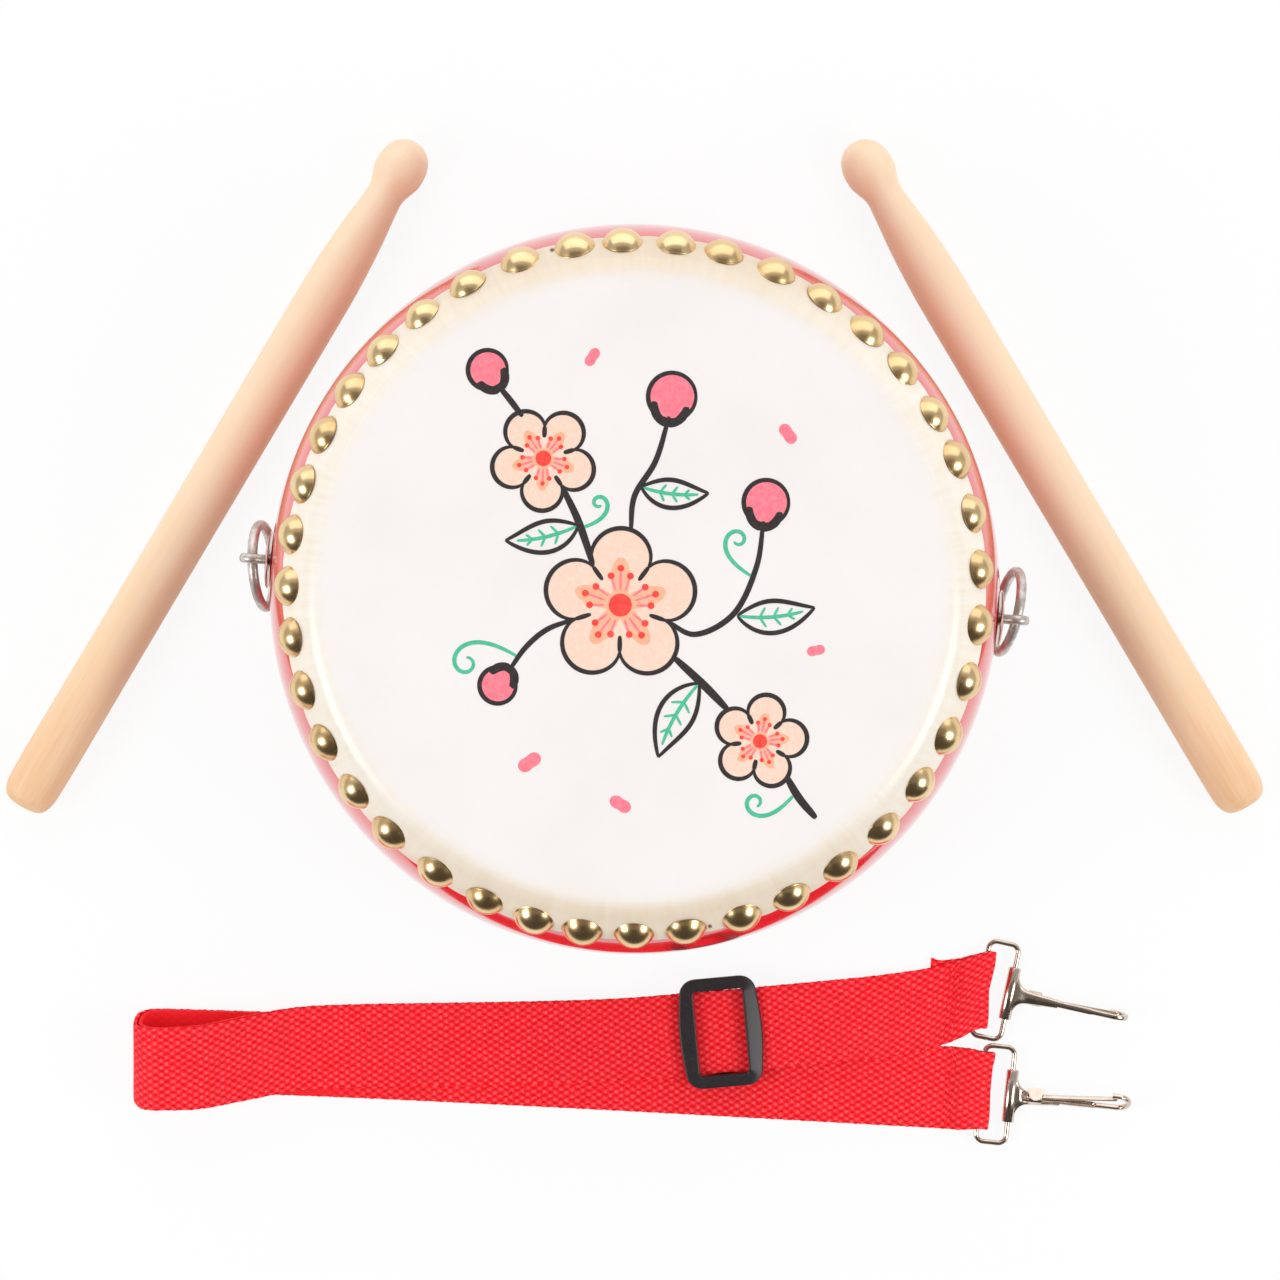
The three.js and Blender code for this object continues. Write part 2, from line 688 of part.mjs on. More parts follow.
function drumSet() {
  const right = rad(ringAzimuth);
  const left = right + Math.PI;
  const head = headProfile();
  const flipped = tackRow().rotateX(Math.PI).translate(0, 0, drumHeight);
  return [
    piece('drum_shell', shellGeometry([right, left]), redLacquer),
    piece('top_head', turned(head, drumFacets), rawhide),
    piece('bottom_head', turned(upsideDown(head), drumFacets), rawhide),
    piece('top_tacks', tackRow(), brass),
    piece('bottom_tacks', flipped, brass),
    ringSet('right', right, -ringYaw),
    ringSet('left', left, ringYaw),
  ];
}

const drum = new THREE.Group();
drum.add(...drumSet(), stick('left', -1), stick('right', 1), strapSet());

export default drum;
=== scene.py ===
# Toy drum with sticks and strap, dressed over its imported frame. Shapes are in mm, meshes in metres.
import functools
import json
import math

import bmesh
import bpy
import numpy as np
from mathutils import Matrix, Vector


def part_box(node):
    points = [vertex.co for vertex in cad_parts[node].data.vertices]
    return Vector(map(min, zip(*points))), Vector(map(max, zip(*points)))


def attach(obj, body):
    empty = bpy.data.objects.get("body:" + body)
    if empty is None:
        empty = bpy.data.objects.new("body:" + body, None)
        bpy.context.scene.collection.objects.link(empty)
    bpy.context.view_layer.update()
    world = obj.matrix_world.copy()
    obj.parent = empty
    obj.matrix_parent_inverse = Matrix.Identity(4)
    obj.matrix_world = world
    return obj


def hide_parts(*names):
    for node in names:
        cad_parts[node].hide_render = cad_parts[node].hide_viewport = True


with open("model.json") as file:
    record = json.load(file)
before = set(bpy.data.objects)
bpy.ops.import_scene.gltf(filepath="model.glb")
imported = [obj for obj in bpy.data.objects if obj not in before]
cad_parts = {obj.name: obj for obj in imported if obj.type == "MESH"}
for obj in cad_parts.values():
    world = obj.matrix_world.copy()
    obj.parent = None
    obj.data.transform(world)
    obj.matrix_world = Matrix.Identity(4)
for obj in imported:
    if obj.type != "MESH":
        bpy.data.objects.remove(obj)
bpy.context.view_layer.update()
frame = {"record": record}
mm = 0.001
tau = 2 * np.pi
hinges = {joint["name"]: joint for joint in frame["record"]["behaviour"]["joints"]}


# small tools

def linear(code):  # sRGB hex to linear colour
    srgb = np.array([int(code[i:i + 2], 16) for i in (1, 3, 5)]) / 255
    value = np.where(srgb <= 0.04045, srgb / 12.92, ((srgb + 0.055) / 1.055) ** 2.4)
    return (*value.tolist(), 1.0)


def fill(tree, node, inputs):  # joins each input to a socket, or gives it a plain value
    for key, value in inputs.items():
        if isinstance(value, bpy.types.NodeSocket):
            tree.links.new(value, node.inputs[key])
        else:
            node.inputs[key].default_value = value


def addNode(tree, kind, inputs=None, out=0, stops=None, **settings):  # gives back one output of the new node
    node = tree.nodes.new("ShaderNode" + kind)
    for name, value in settings.items():
        setattr(node, name, value)
    fill(tree, node, inputs or {})
    if stops:  # colour ramp: a colour at each place
        ramp = node.color_ramp.elements
        while len(ramp) < len(stops):
            ramp.new(0.5)
        for element, (place, colour) in zip(ramp, stops.items()):
            element.position = place
            element.color = linear(colour)
    return node.outputs[out]


def newMaterial(name):  # gives addNode for its own tree, and a call that sets the shader and ends
    material = bpy.data.materials.new(name)
    material.use_nodes = True
    tree = material.node_tree

    def finish(inputs):
        fill(tree, tree.nodes["Principled BSDF"], inputs)
        return material

    return functools.partial(addNode, tree), finish


def hingeAt(name):  # where a joint's axis passes, in mm
    return np.array(hinges[name]["pos_m"]) * 1000


def smoothStep(x, a, b):
    t = np.clip((x - a) / (b - a), 0, 1)
    return t * t * (3 - 2 * t)


def asPoints(*axes):  # x, y and perhaps z, each an array or one number, as rows of points
    return np.stack(np.broadcast_arrays(*axes), -1)


def atAngle(angle, radius):
    return asPoints(radius * np.cos(angle), radius * np.sin(angle))


def fullTurn(count):  # angles evenly round a circle
    return np.linspace(0, tau, count, endpoint=False)


def unit(rows):  # directions made one long
    return rows / np.linalg.norm(rows, axis=-1, keepdims=True)


def middleOf(row):  # every point drawn to the row's middle, which closes an end
    return np.broadcast_to(row.mean(0), row.shape)


def arcPoints(x, y, radius, start, end, count):  # points on a circle, angles in radians
    return np.array([x, y]) + atAngle(np.linspace(start, end, count), radius)


def roundCorners(left, right, half, radius):  # a rectangle's four quarter rounds, in order
    spots = ((right - radius, half - radius), (left + radius, half - radius),
             (left + radius, radius - half), (right - radius, radius - half))
    return [arcPoints(*spot, radius, k * np.pi / 2, (k + 1) * np.pi / 2, 8) for k, spot in enumerate(spots)]


def pathLength(path, power=1):  # distance along a path to each of its points
    return np.concatenate([[0], np.cumsum(np.linalg.norm(np.diff(path, axis=0), axis=1) ** power)])


def throughPoints(points, perSpan):  # centripetal spline through points, evaluated by repeated blending
    p = np.asarray(points, float)
    p = np.vstack([2 * p[0] - p[1], p, 2 * p[-1] - p[-2]])
    t = pathLength(p, 0.5)
    i = np.arange(1, len(p) - 2)
    x = t[i, None] + np.linspace(0, 1, perSpan, endpoint=False) * (t[i + 1] - t[i])[:, None]

    def blend(a, b, ia, ib):
        w = ((x - t[ia, None]) / (t[ib] - t[ia])[:, None])[..., None]
        return a * (1 - w) + b * w

    q = [p[i + k][:, None, :] for k in (-1, 0, 1, 2)]
    a = [blend(q[k], q[k + 1], i + k - 1, i + k) for k in range(3)]
    b = [blend(a[k], a[k + 1], i + k - 1, i + k + 1) for k in range(2)]
    curve = blend(b[0], b[1], i, i + 1)
    return np.vstack([curve.reshape(-1, p.shape[1]), p[-2]])


def gridFaces(rows, cols, closedRows=False):  # quads between rows of points; every row closes on itself
    i, j = np.meshgrid(np.arange(rows if closedRows else rows - 1), np.arange(cols), indexing="ij")
    ni, nj = (i + 1) % rows, (j + 1) % cols
    return asPoints(i * cols + j, i * cols + nj, ni * cols + nj, ni * cols + j).reshape(-1, 4)


def revolve(profile, count, closed=False):  # each (radius, height) point carried round the Z axis
    turn = fullTurn(count)
    r, z = profile[:, :1], profile[:, 1:]
    grid = asPoints(r * np.cos(turn), r * np.sin(turn), z)
    return grid, gridFaces(len(profile), count, closedRows=closed)


def sweep(path, section, across, closed=False):
    # a section carried along a path: its x lies along `across`, its y square to that and to the path
    ahead = np.roll(path, -1, 0) - np.roll(path, 1, 0) if closed else np.gradient(path, axis=0)
    side = unit(np.broadcast_to(np.asarray(across, float), path.shape))
    up = unit(np.cross(ahead, side))
    section = np.broadcast_to(section, (len(path), *np.shape(section)[-2:]))
    grid = path[:, None] + section[..., :1] * side[:, None] + section[..., 1:] * up[:, None]
    if not closed:
        grid = np.concatenate([[middleOf(grid[0])], grid, [middleOf(grid[-1])]])
    return grid, gridFaces(*grid.shape[:2], closedRows=closed)


def roundSection(width, height, count=24, power=2.0):  # superellipse: power 2 is round, 5 is a soft bar
    angle = fullTurn(count)
    c, s = np.cos(angle), np.sin(angle)
    return asPoints(np.sign(c) * np.abs(c) ** (2 / power) * width / 2,
                    np.sign(s) * np.abs(s) ** (2 / power) * height / 2)


def slab(outline, low, high):  # a flat plate over an outline that its own middle can see all round
    top, foot = asPoints(*outline.T, high), asPoints(*outline.T, low)
    return np.stack([middleOf(top), top, foot, middleOf(foot)]), gridFaces(4, len(outline))


def turned(grid, matrix):  # points moved by a 4x4 matrix in mm
    m = np.array(matrix)
    return grid @ m[:3, :3].T + m[:3, 3]


def makePiece(name, parts, material, body, replaces=(), attributes=None):
    # parts: (points in mm, faces) pairs, welded where they close on themselves
    points, faces, base = [], [], 0
    for grid, quads in parts:
        flat = np.asarray(grid, float).reshape(-1, 3)
        points.append(flat)
        faces.append(np.asarray(quads) + base)
        base += len(flat)
    points = np.concatenate(points) * mm
    faces = np.concatenate(faces)
    mesh = bpy.data.meshes.new(name)
    mesh.vertices.add(len(points))
    mesh.vertices.foreach_set("co", points.ravel())
    mesh.loops.add(faces.size)
    mesh.loops.foreach_set("vertex_index", faces.ravel())
    mesh.polygons.add(len(faces))
    mesh.polygons.foreach_set("loop_start", np.arange(0, faces.size, faces.shape[1]))
    mesh.update(calc_edges=True)
    for key, values in (attributes or {}).items():
        values = np.asarray(values, np.float32)
        kind, field = ("FLOAT", "value") if values.ndim == 1 else ("FLOAT_VECTOR", "vector")
        mesh.attributes.new(key, kind, "POINT").data.foreach_set(field, values.ravel())
    shape = bmesh.new()
    shape.from_mesh(mesh)
    bmesh.ops.remove_doubles(shape, verts=shape.verts, dist=2e-7)
    bmesh.ops.dissolve_degenerate(shape, edges=shape.edges, dist=1e-8)
    bmesh.ops.recalc_face_normals(shape, faces=shape.faces)
    shape.to_mesh(mesh)
    shape.free()
    mesh.polygons.foreach_set("use_smooth", np.ones(len(mesh.polygons), bool))
    mesh.set_sharp_from_angle(angle=math.radians(50))  # degrees: sharper edges stay crisp
    mesh.materials.append(material)
    piece = bpy.data.objects.new(name, mesh)
    bpy.context.collection.objects.link(piece)
    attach(piece, body)
    if replaces:
        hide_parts(*replaces)
    return piece


# the drum's section, read from the frame

shellHigh = np.array(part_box("drum_shell")[1]) * 1000
headHigh = np.array(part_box("top_head")[1]) * 1000
drum = {
    "height": headHigh[2],
    "radius": shellHigh[0],
    "barrelCurve": 56.7,  # the side's radius in section
    "wall": 10.0,
    "insideDepth": 7.0,  # the wall thins to the bearing edge over this
    "bearing": 2.5,
    "hide": 1.0,
    "seat": 0.3,
    "edgeRound": 8.0,
    "hideTail": 3.0,  # hide below the tacks' middles
    "pullLift": 0.35, "waveLift": 0.12,  # how far the tail stands off, between tacks and at random
    "pullDrop": -0.3, "waveDrop": 0.25,  # and how its cut edge runs up and down
    "nicks": [(21.8, -97.5), (-92.9, -28.5), (-23.7, 97.4)],  # holes beside tacks, x and y
    "tacks": [  # degrees, measured in the photograph by a scratch script, with a few mended by hand
        3.2, 12.4, 21.8, 30.2, 39.2, 47.9, 56.6, 65.9, 75.1, 83.1, 91.9, 100, 109.2, 118.8, 127.8,
        136.6, 145.2, 153.8, 162.6, 171.2, 179.6, 188.2, 197.2, 206.6, 216, 225, 235, 244.4, 253,
        261.3, 269.9, 278.6, 288.2, 297, 306.6, 316, 325.5, 334.8, 344.4, 353.9],
    "tackRadius": 5.95,
    "tackDome": 3.9,
    "tackLip": [(0.985, 0.24), (1.005, 0.13), (1.008, 0.0), (0.99, -0.1), (0, -0.1)],  # share of radius, mm
    "tackSink": 0.1,
    "tackTilt": 0.035, "tackSpread": 0.012,  # spread of lean and size
    "tackShoulderGap": 1.0,
}
midHeight = drum["height"] / 2
skin = drum["hide"] + drum["seat"]
hideCurve = drum["barrelCurve"] + skin
curveAxis = drum["radius"] - drum["barrelCurve"]
rise = midHeight - drum["edgeRound"]
reach = math.sqrt((hideCurve - drum["edgeRound"]) ** 2 - rise ** 2)
shoulderAngle = math.atan2(rise, reach)
shoulderRadius = curveAxis + reach
tackAngle = shoulderAngle - (drum["tackRadius"] + drum["tackShoulderGap"]) / hideCurve
hideEdgeAngle = tackAngle - drum["hideTail"] / hideCurve
tackTurns = np.radians(drum["tacks"])


# materials

def mottled(name, tone, gloss, relief=None, plain=None):
    # each of the three follows a noise of its first two numbers, size in mm and detail; then come its
    # colours, its roughness from and to, or its bumps' strength and depth in mm
    add, finish = newMaterial(name)
    place = add("TexCoord", out="Object")
    noises = [add("TexNoise", {"Vector": place, "Scale": 1 / (size * mm), "Detail": detail})
              for size, detail, *_ in filter(None, (tone, gloss, relief))]
    inputs = {
        "Base Color": add("ValToRGB", {"Fac": noises[0]}, stops=tone[2]),
        "Roughness": add("MapRange", {"Value": noises[1], "To Min": gloss[2], "To Max": gloss[3]})}
    if relief:
        inputs["Normal"] = add("Bump", {
            "Height": noises[2], "Strength": relief[2], "Distance": relief[3] * mm})
    return finish({**inputs, **(plain or {})})


def scrapedHide():  # scraped and bleached hide: even chalky white, cream and waxy where it rolls over the rim
    add, finish = newMaterial("scraped_hide")
    place = add("TexCoord", out="Object")
    rim = add("Attribute", out="Fac", attribute_name="rim")
    pull = add("Attribute", out="Vector", attribute_name="pull")  # round and out, both in mm
    cloud = add("TexNoise", {"Vector": place, "Scale": 1 / (30 * mm), "Detail": 5})
    field = add("ValToRGB", {"Fac": cloud}, stops={0.3: "#F4EEEB", 0.7: "#F7F2F0"})
    long = add("Mapping", {"Vector": pull, "Scale": (1, 0.08, 1)})
    crease = add("TexNoise", {"Vector": long, "Scale": 1 / 2.2, "Detail": 4})
    # painted shade: the cream is darker where the creases sink in the bump, lighter on their crests
    edge = add("ValToRGB", {"Fac": crease}, stops={0.25: "#F5E9D8", 0.5: "#F8EFE1", 0.75: "#FAF3E8"})
    colour = add("Mix", {0: rim, 6: field, 7: edge}, out=2, data_type="RGBA")
    away = add("Math", {0: add("SeparateXYZ", {0: place}, out="Y")}, operation="ABSOLUTE")
    shadeByY = add("MapRange", {  # painted shade: the rim darkens and yellows towards two opposite edges, away from the side lamps
        "Value": away, "From Min": 55 * mm, "From Max": 100 * mm}, interpolation_type="SMOOTHSTEP")
    rimShade = add("Math", {0: shadeByY, 1: rim}, operation="MULTIPLY")
    colour = add("Mix", {
        0: rimShade, 6: colour, 7: linear("#F4EBDF")}, out=2, data_type="RGBA", blend_type="MULTIPLY")
    level = add("VectorMath", {0: place, 1: (1, 1, 0)}, operation="MULTIPLY")
    for x, y in drum["nicks"]:  # old nail holes, painted as dark spots: the red wood with painted shade inside each hole
        away = add("VectorMath", {0: level, 1: (x * mm, y * mm, 0)}, out="Value", operation="DISTANCE")
        shadedHole = add("MapRange", {
            "Value": away, "From Min": 0.4 * mm, "From Max": 0.8 * mm, "To Min": 1.0, "To Max": 0.0})
        colour = add("Mix", {0: shadedHole, 6: colour, 7: linear("#6E2A1E")}, out=2, data_type="RGBA")
    fine = add("TexNoise", {"Vector": place, "Scale": 1 / (0.8 * mm), "Detail": 4})
    grain = add("Math", {0: crease, 1: rim}, operation="MULTIPLY")
    height = add("Math", {0: grain, 1: 1.5, 2: fine}, operation="MULTIPLY_ADD")
    return finish({
        "Base Color": colour,
        "Roughness": add("MapRange", {"Value": rim, "To Min": 0.5, "To Max": 0.22}),
        "Normal": add("Bump", {"Height": height, "Strength": 0.12, "Distance": 0.2 * mm}),
        "Subsurface Weight": 0.06, "Subsurface Radius": (0.002, 0.0015, 0.001)})


def polishedBrass():  # pressed brass domes: bright crown, browner where the lip holds old polish
    add, finish = newMaterial("pressed_brass")
    place = add("TexCoord", out="Object")
    lip = add("Attribute", out="Fac", attribute_name="lip")
    spot = add("TexNoise", {"Vector": place, "Scale": 1 / (2.5 * mm), "Detail": 5})
    age = add("Math", {0: spot, 1: 0.5, 2: lip}, operation="MULTIPLY_ADD")
    return finish({
        "Base Color": add("ValToRGB", {"Fac": age}, stops={0.2: "#F2D6A6", 0.6: "#E6C48E", 1.0: "#B0905F"}),
        "Roughness": add("MapRange", {"Value": age, "To Min": 0.19, "To Max": 0.33}),
        "Normal": add("Bump", {"Height": spot, "Strength": 0.06, "Distance": 0.2 * mm}),
        "Metallic": 1.0})


def sandedWood():  # turned and sanded pale wood: fine long grain, soft sheen
    add, finish = newMaterial("sanded_pale_wood")
    grain = add("Attribute", out="Vector", attribute_name="grain")
    long = add("Mapping", {"Vector": grain, "Scale": (1, 1, 0.06)})
    band = add("TexNoise", {"Vector": long, "Scale": 1 / (5 * mm), "Detail": 3})
    fibre = add("TexNoise", {"Vector": long, "Scale": 1 / (0.8 * mm), "Detail": 4})
    figure = add("MapRange", {"Value": band, "To Min": 0.38, "To Max": 0.72})
    both = add("Math", {0: fibre, 1: 0.2, 2: figure}, operation="MULTIPLY_ADD")
    end = add("SeparateXYZ", {0: grain}, out="Z")
    butt = add("MapRange", {  # the butt end: darker and yellower
        "Value": end, "From Min": 0.18, "From Max": 0.29, "To Min": -0.4, "To Max": 0.0})
    toneLevel = add("Math", {0: both, 1: butt}, operation="ADD")
    return finish({
        "Base Color": add("ValToRGB", {"Fac": toneLevel}, stops={
            0.15: "#E9B582", 0.38: "#F6D1AA", 0.66: "#FBDDBD", 0.95: "#FEE6CC"}),
        "Roughness": add("MapRange", {"Value": fibre, "To Min": 0.42, "To Max": 0.6}),
        "Normal": add("Bump", {"Height": fibre, "Strength": 0.08, "Distance": 0.2 * mm})})


def wovenWebbing():  # plain-woven polypropylene: bright floats in brick order, with dark marks between, painted as shade in the weave's hollows
    add, finish = newMaterial("woven_webbing")
    weave = add("Attribute", out="Vector", attribute_name="weave")  # mm along and across
    fold = add("Attribute", out="Fac", attribute_name="fold")  # 1 inside the open loop, where a painted shade falls
    drift = add("TexNoise", {"Vector": weave, "Scale": 0.8, "Detail": 3}, out="Color")
    uneven = add("VectorMath", {0: drift, 1: (1.1, 1.3, 0), 2: weave}, operation="MULTIPLY_ADD")
    waves = []
    for axis, repeat in (("X", 3.35), ("Y", 2.12)):  # a wave each way, mm; their product is a chequer
        place = add("SeparateXYZ", {0: uneven}, out=axis)
        phase = add("Math", {0: place, 1: tau / repeat}, operation="MULTIPLY")
        waves.append(add("Math", {0: phase}, operation="COSINE"))
    chequer = add("Math", {0: waves[0], 1: waves[1]}, operation="MULTIPLY")
    column = add("Math", {0: waves[0], 1: waves[0]}, operation="MULTIPLY")
    ridge = add("Math", {0: column, 1: 0.3, 2: chequer}, operation="MULTIPLY_ADD")
    fibre = add("TexNoise", {"Vector": weave, "Scale": 1.6, "Detail": 2})
    rough = add("Math", {0: fibre, 1: 1.1, 2: ridge}, operation="MULTIPLY_ADD")
    lowest = add("Math", {0: fold, 1: 0.38}, operation="MULTIPLY")  # painted shade and red bounce light: inside the loop the weave's contrast flattens to an even deep red
    highest = add("Math", {0: fold, 1: -0.5, 2: 1.0}, operation="MULTIPLY_ADD")
    level = add("MapRange", {
        "Value": rough, "From Min": -0.45, "From Max": 1.85, "To Min": lowest, "To Max": highest})
    # painted shade and highlight: the colour follows the weave's height, dark in the hollows, light on the
    # floats' tops
    thread = add("ValToRGB", {"Fac": level}, stops={
        0.0: "#CE0410", 0.25: "#F2121D", 0.5: "#FF2D37", 0.75: "#FF434C", 1.0: "#FF646D"})
    cloud = add("TexNoise", {"Vector": weave, "Scale": 0.1, "Detail": 3})
    wash = add("MapRange", {"Value": cloud, "To Min": 0.97, "To Max": 1.07})
    return finish({
        "Base Color": add("Mix", {0: 1.0, 6: thread, 7: wash}, out=2, data_type="RGBA",
                          blend_type="MULTIPLY"),
        "Normal": add("Bump", {"Height": level, "Strength": 0.35, "Distance": 0.25 * mm}),
        "Roughness": 0.6, "Specular IOR Level": 0.12})


hide, brass, wood, webbing = scrapedHide(), polishedBrass(), sandedWood(), wovenWebbing()
lacquer = mottled(  # sprayed lacquer on turned wood: deep red, wet gloss, faint orange peel
    "sprayed_red_lacquer", (40, 4, {0.3: "#DC0C18", 0.7: "#EA1622"}), (9, 3, 0.1, 0.24), (2.2, 2, 0.05, 0.2),
    {"Coat Weight": 1.0, "Coat Roughness": 0.06, "Coat IOR": 1.7})
nickel = mottled(  # barrel-plated nickel on steel: warm grey mirror with a fine haze
    "plated_nickel", (3, 6, {0.3: "#C9B7A8", 0.7: "#E6D9CC"}), (3, 6, 0.1, 0.24), (0.7, 2, 0.05, 0.1),
    {"Metallic": 1.0})
steel = mottled(  # zinc-washed steel, tumbled: soft grey with cloudy dull patches that hide the metal
    "tumbled_steel", (2, 6, {0.35: "#BDB6B0", 0.65: "#E2DDD8"}), (2, 6, 0.55, 0.3), (2, 6, 0.15, 0.2),
    {"Metallic": 0.8})
plastic = mottled(  # moulded black acetal: satin, with fine spark texture
    "moulded_black_plastic", (0.5, 3, {0.3: "#242124", 0.7: "#312E32"}), (0.5, 3, 0.3, 0.48),
    (0.5, 3, 0.1, 0.1))
inks = {}  # screen-printed ink: a flat film, a little thinner where the hide is rough; in printing order
for name, thin, full in (
        ("pale", "#FBE0CF", "#FAD6C0"), ("peach", "#FFC2A2", "#FFB48E"), ("pink", "#FF909E", "#FC7A8B"),
        ("red", "#FF584E", "#F93E36"), ("green", "#5ACBA4", "#45BF94"), ("black", "#3B3334", "#2C2526")):
    material = "pale_peach_ink" if name == "pale" else name + "_ink"
    inks[name] = mottled(material, (1.2, 5, {0.3: thin, 0.6: full}), (1.2, 5, 0.45, 0.65))
print("materials ready")


# drum shell, heads and tacks

def crown(depth, toAngle, roundCount, sideCount):  # rounding, then the barrel's arc, under the hide's face
    over = arcPoints(shoulderRadius, drum["height"] - drum["edgeRound"], drum["edgeRound"] - depth,
                     np.pi / 2, shoulderAngle, roundCount)
    side = arcPoints(curveAxis, midHeight, hideCurve - depth, shoulderAngle, toAngle, sideCount)
    return np.vstack([over, side[1:]])


def flipped(grid):  # the same on the drum's underside
    return grid * [1, -1, -1] + [0, 0, drum["height"]]


def makeShell():
    upper = crown(skin, 0, 8, 30)
    lower = upper[::-1] * [1, -1] + [0, drum["height"]]
    inner = drum["barrelCurve"] - drum["wall"]
    top = drum["height"] - skin
    slope = math.asin((top - drum["insideDepth"] - midHeight) / inner)
    inside = arcPoints(curveAxis, midHeight, inner, -slope, slope, 24)
    rim = np.array([[shoulderRadius - drum["bearing"], top]])
    base = rim * [1, -1] + [0, drum["height"]]
    shell = revolve(np.vstack([rim, upper, lower[1:], base, inside]), 256, closed=True)
    makePiece("red_barrel", [shell], lacquer, "drum", ["drum_shell"])


def makeHead(name, node, under, seed):
    # the hide: flat field, rolled shoulder, tail to a slightly wavy cut edge, with soft pulls between tacks
    random = np.random.default_rng(seed)
    count, sideRows = 640, 16
    turn = fullTurn(count)
    wave = sum(random.normal(0, 1) * np.cos(k * turn + random.uniform(0, tau)) for k in range(3, 40, 4)) / 4
    nearest = np.min(np.abs((turn[:, None] - tackTurns + np.pi) % tau - np.pi), 1) * drum["radius"]
    between = smoothStep(nearest, 1, 8)
    flat = asPoints(np.linspace(0, 1, 26) ** 0.7 * shoulderRadius, drum["height"])
    outer = np.vstack([flat[:-1], crown(0, hideEdgeAngle, 18, sideRows)])
    inner = np.vstack([flat[:-1:3] - [0, drum["hide"]], crown(drum["hide"], hideEdgeAngle, 8, 6)])[::-1]
    grid, faces = revolve(np.vstack([outer, inner]), count)
    steps = pathLength(outer)
    past = steps - (steps[-1] - hideCurve * (shoulderAngle - hideEdgeAngle))  # mm beyond the shoulder
    tail = smoothStep(past, -6, 8)
    tail = np.concatenate([tail, np.linspace(tail[-1], 0, len(inner)) ** 2])[:, None]
    lift = tail * (drum["pullLift"] * between + drum["waveLift"] * wave)
    cut = smoothStep(past, 4, steps[-1] - steps[-sideRows] + 4)
    edge = np.concatenate([cut, np.zeros(len(inner))])[:, None]
    drop = edge * (drum["waveDrop"] * wave + drum["pullDrop"] * between)
    radial = grid * [1, 1, 0] / np.maximum(np.linalg.norm(grid[..., :2], axis=-1), 1e-6)[..., None]
    grid = grid + radial * lift[..., None] + asPoints(0, 0, drop)
    rim = np.concatenate([smoothStep(steps, shoulderRadius - 1.5, shoulderRadius + 4), np.ones(len(inner))])
    out = np.concatenate([steps, np.full(len(inner), steps[-1])])
    around = np.abs(turn - np.pi) * drum["radius"]  # meets itself at both ends
    pull = asPoints(around, out[:, None], np.sign(np.pi - turn)).reshape(-1, 3)
    makePiece(name, [(flipped(grid) if under else grid, faces)], hide, "drum", [node],
              attributes={"rim": np.repeat(rim, count), "pull": pull})


def makeTacks(name, node, under, seed):
    # pressed domes: a cap of a ball over a thin lip, each a little tilted by the hammer
    random = np.random.default_rng(seed)
    n, domeRows, cols = len(tackTurns), 12, 32
    wide, tall = drum["tackRadius"], drum["tackDome"]
    ball = (wide ** 2 + tall ** 2) / (2 * tall)
    t = np.linspace(0, 0.93 * math.asin(wide / ball), domeRows)
    dome = asPoints(ball * np.sin(t), ball * np.cos(t) - ball + tall)
    profile = np.vstack([dome, np.array(drum["tackLip"]) * [wide, 1]])
    local, faces = revolve(profile, cols)
    tilt = random.normal(0, drum["tackTilt"], (n, 2))[:, None, None]
    grown = local * (1 + random.normal(0, drum["tackSpread"], (n, 1, 1, 1)))
    x, y, z = np.moveaxis(grown, -1, 0)  # x runs down the side, y round the rim
    side = hideCurve - drum["tackSink"] + z + tilt[..., 0] * x + tilt[..., 1] * y
    radius = curveAxis + side * np.cos(tackAngle) + x * np.sin(tackAngle)
    height = midHeight + side * np.sin(tackAngle) - x * np.cos(tackAngle)
    turn = tackTurns[:, None, None]
    points = atAngle(turn, radius) + atAngle(turn + np.pi / 2, y)
    points = np.concatenate([points, height[..., None]], -1)
    if under:
        points = flipped(points)
    toneLevel = np.concatenate([np.linspace(0, 0.3, domeRows), [0.45, 0.5, 0.7, 0.8, 0.8]])  # crown to foot
    lip = np.repeat(toneLevel, cols) + random.uniform(-0.15, 0.15, (n, 1))
    makePiece(name, [(tack, faces) for tack in points], brass, "drum", [node],
              attributes={"lip": lip.ravel()})


makeShell()
makeHead("top_hide", "top_head", False, 3)
makeHead("bottom_hide", "bottom_head", True, 4)
makeTacks("top_brass_tacks", "top_tacks", False, 5)
makeTacks("bottom_brass_tacks", "bottom_tacks", True, 6)
print("drum made")


# printed spray on the top head: plum blossoms, buds, leaves and tendrils in flat inks

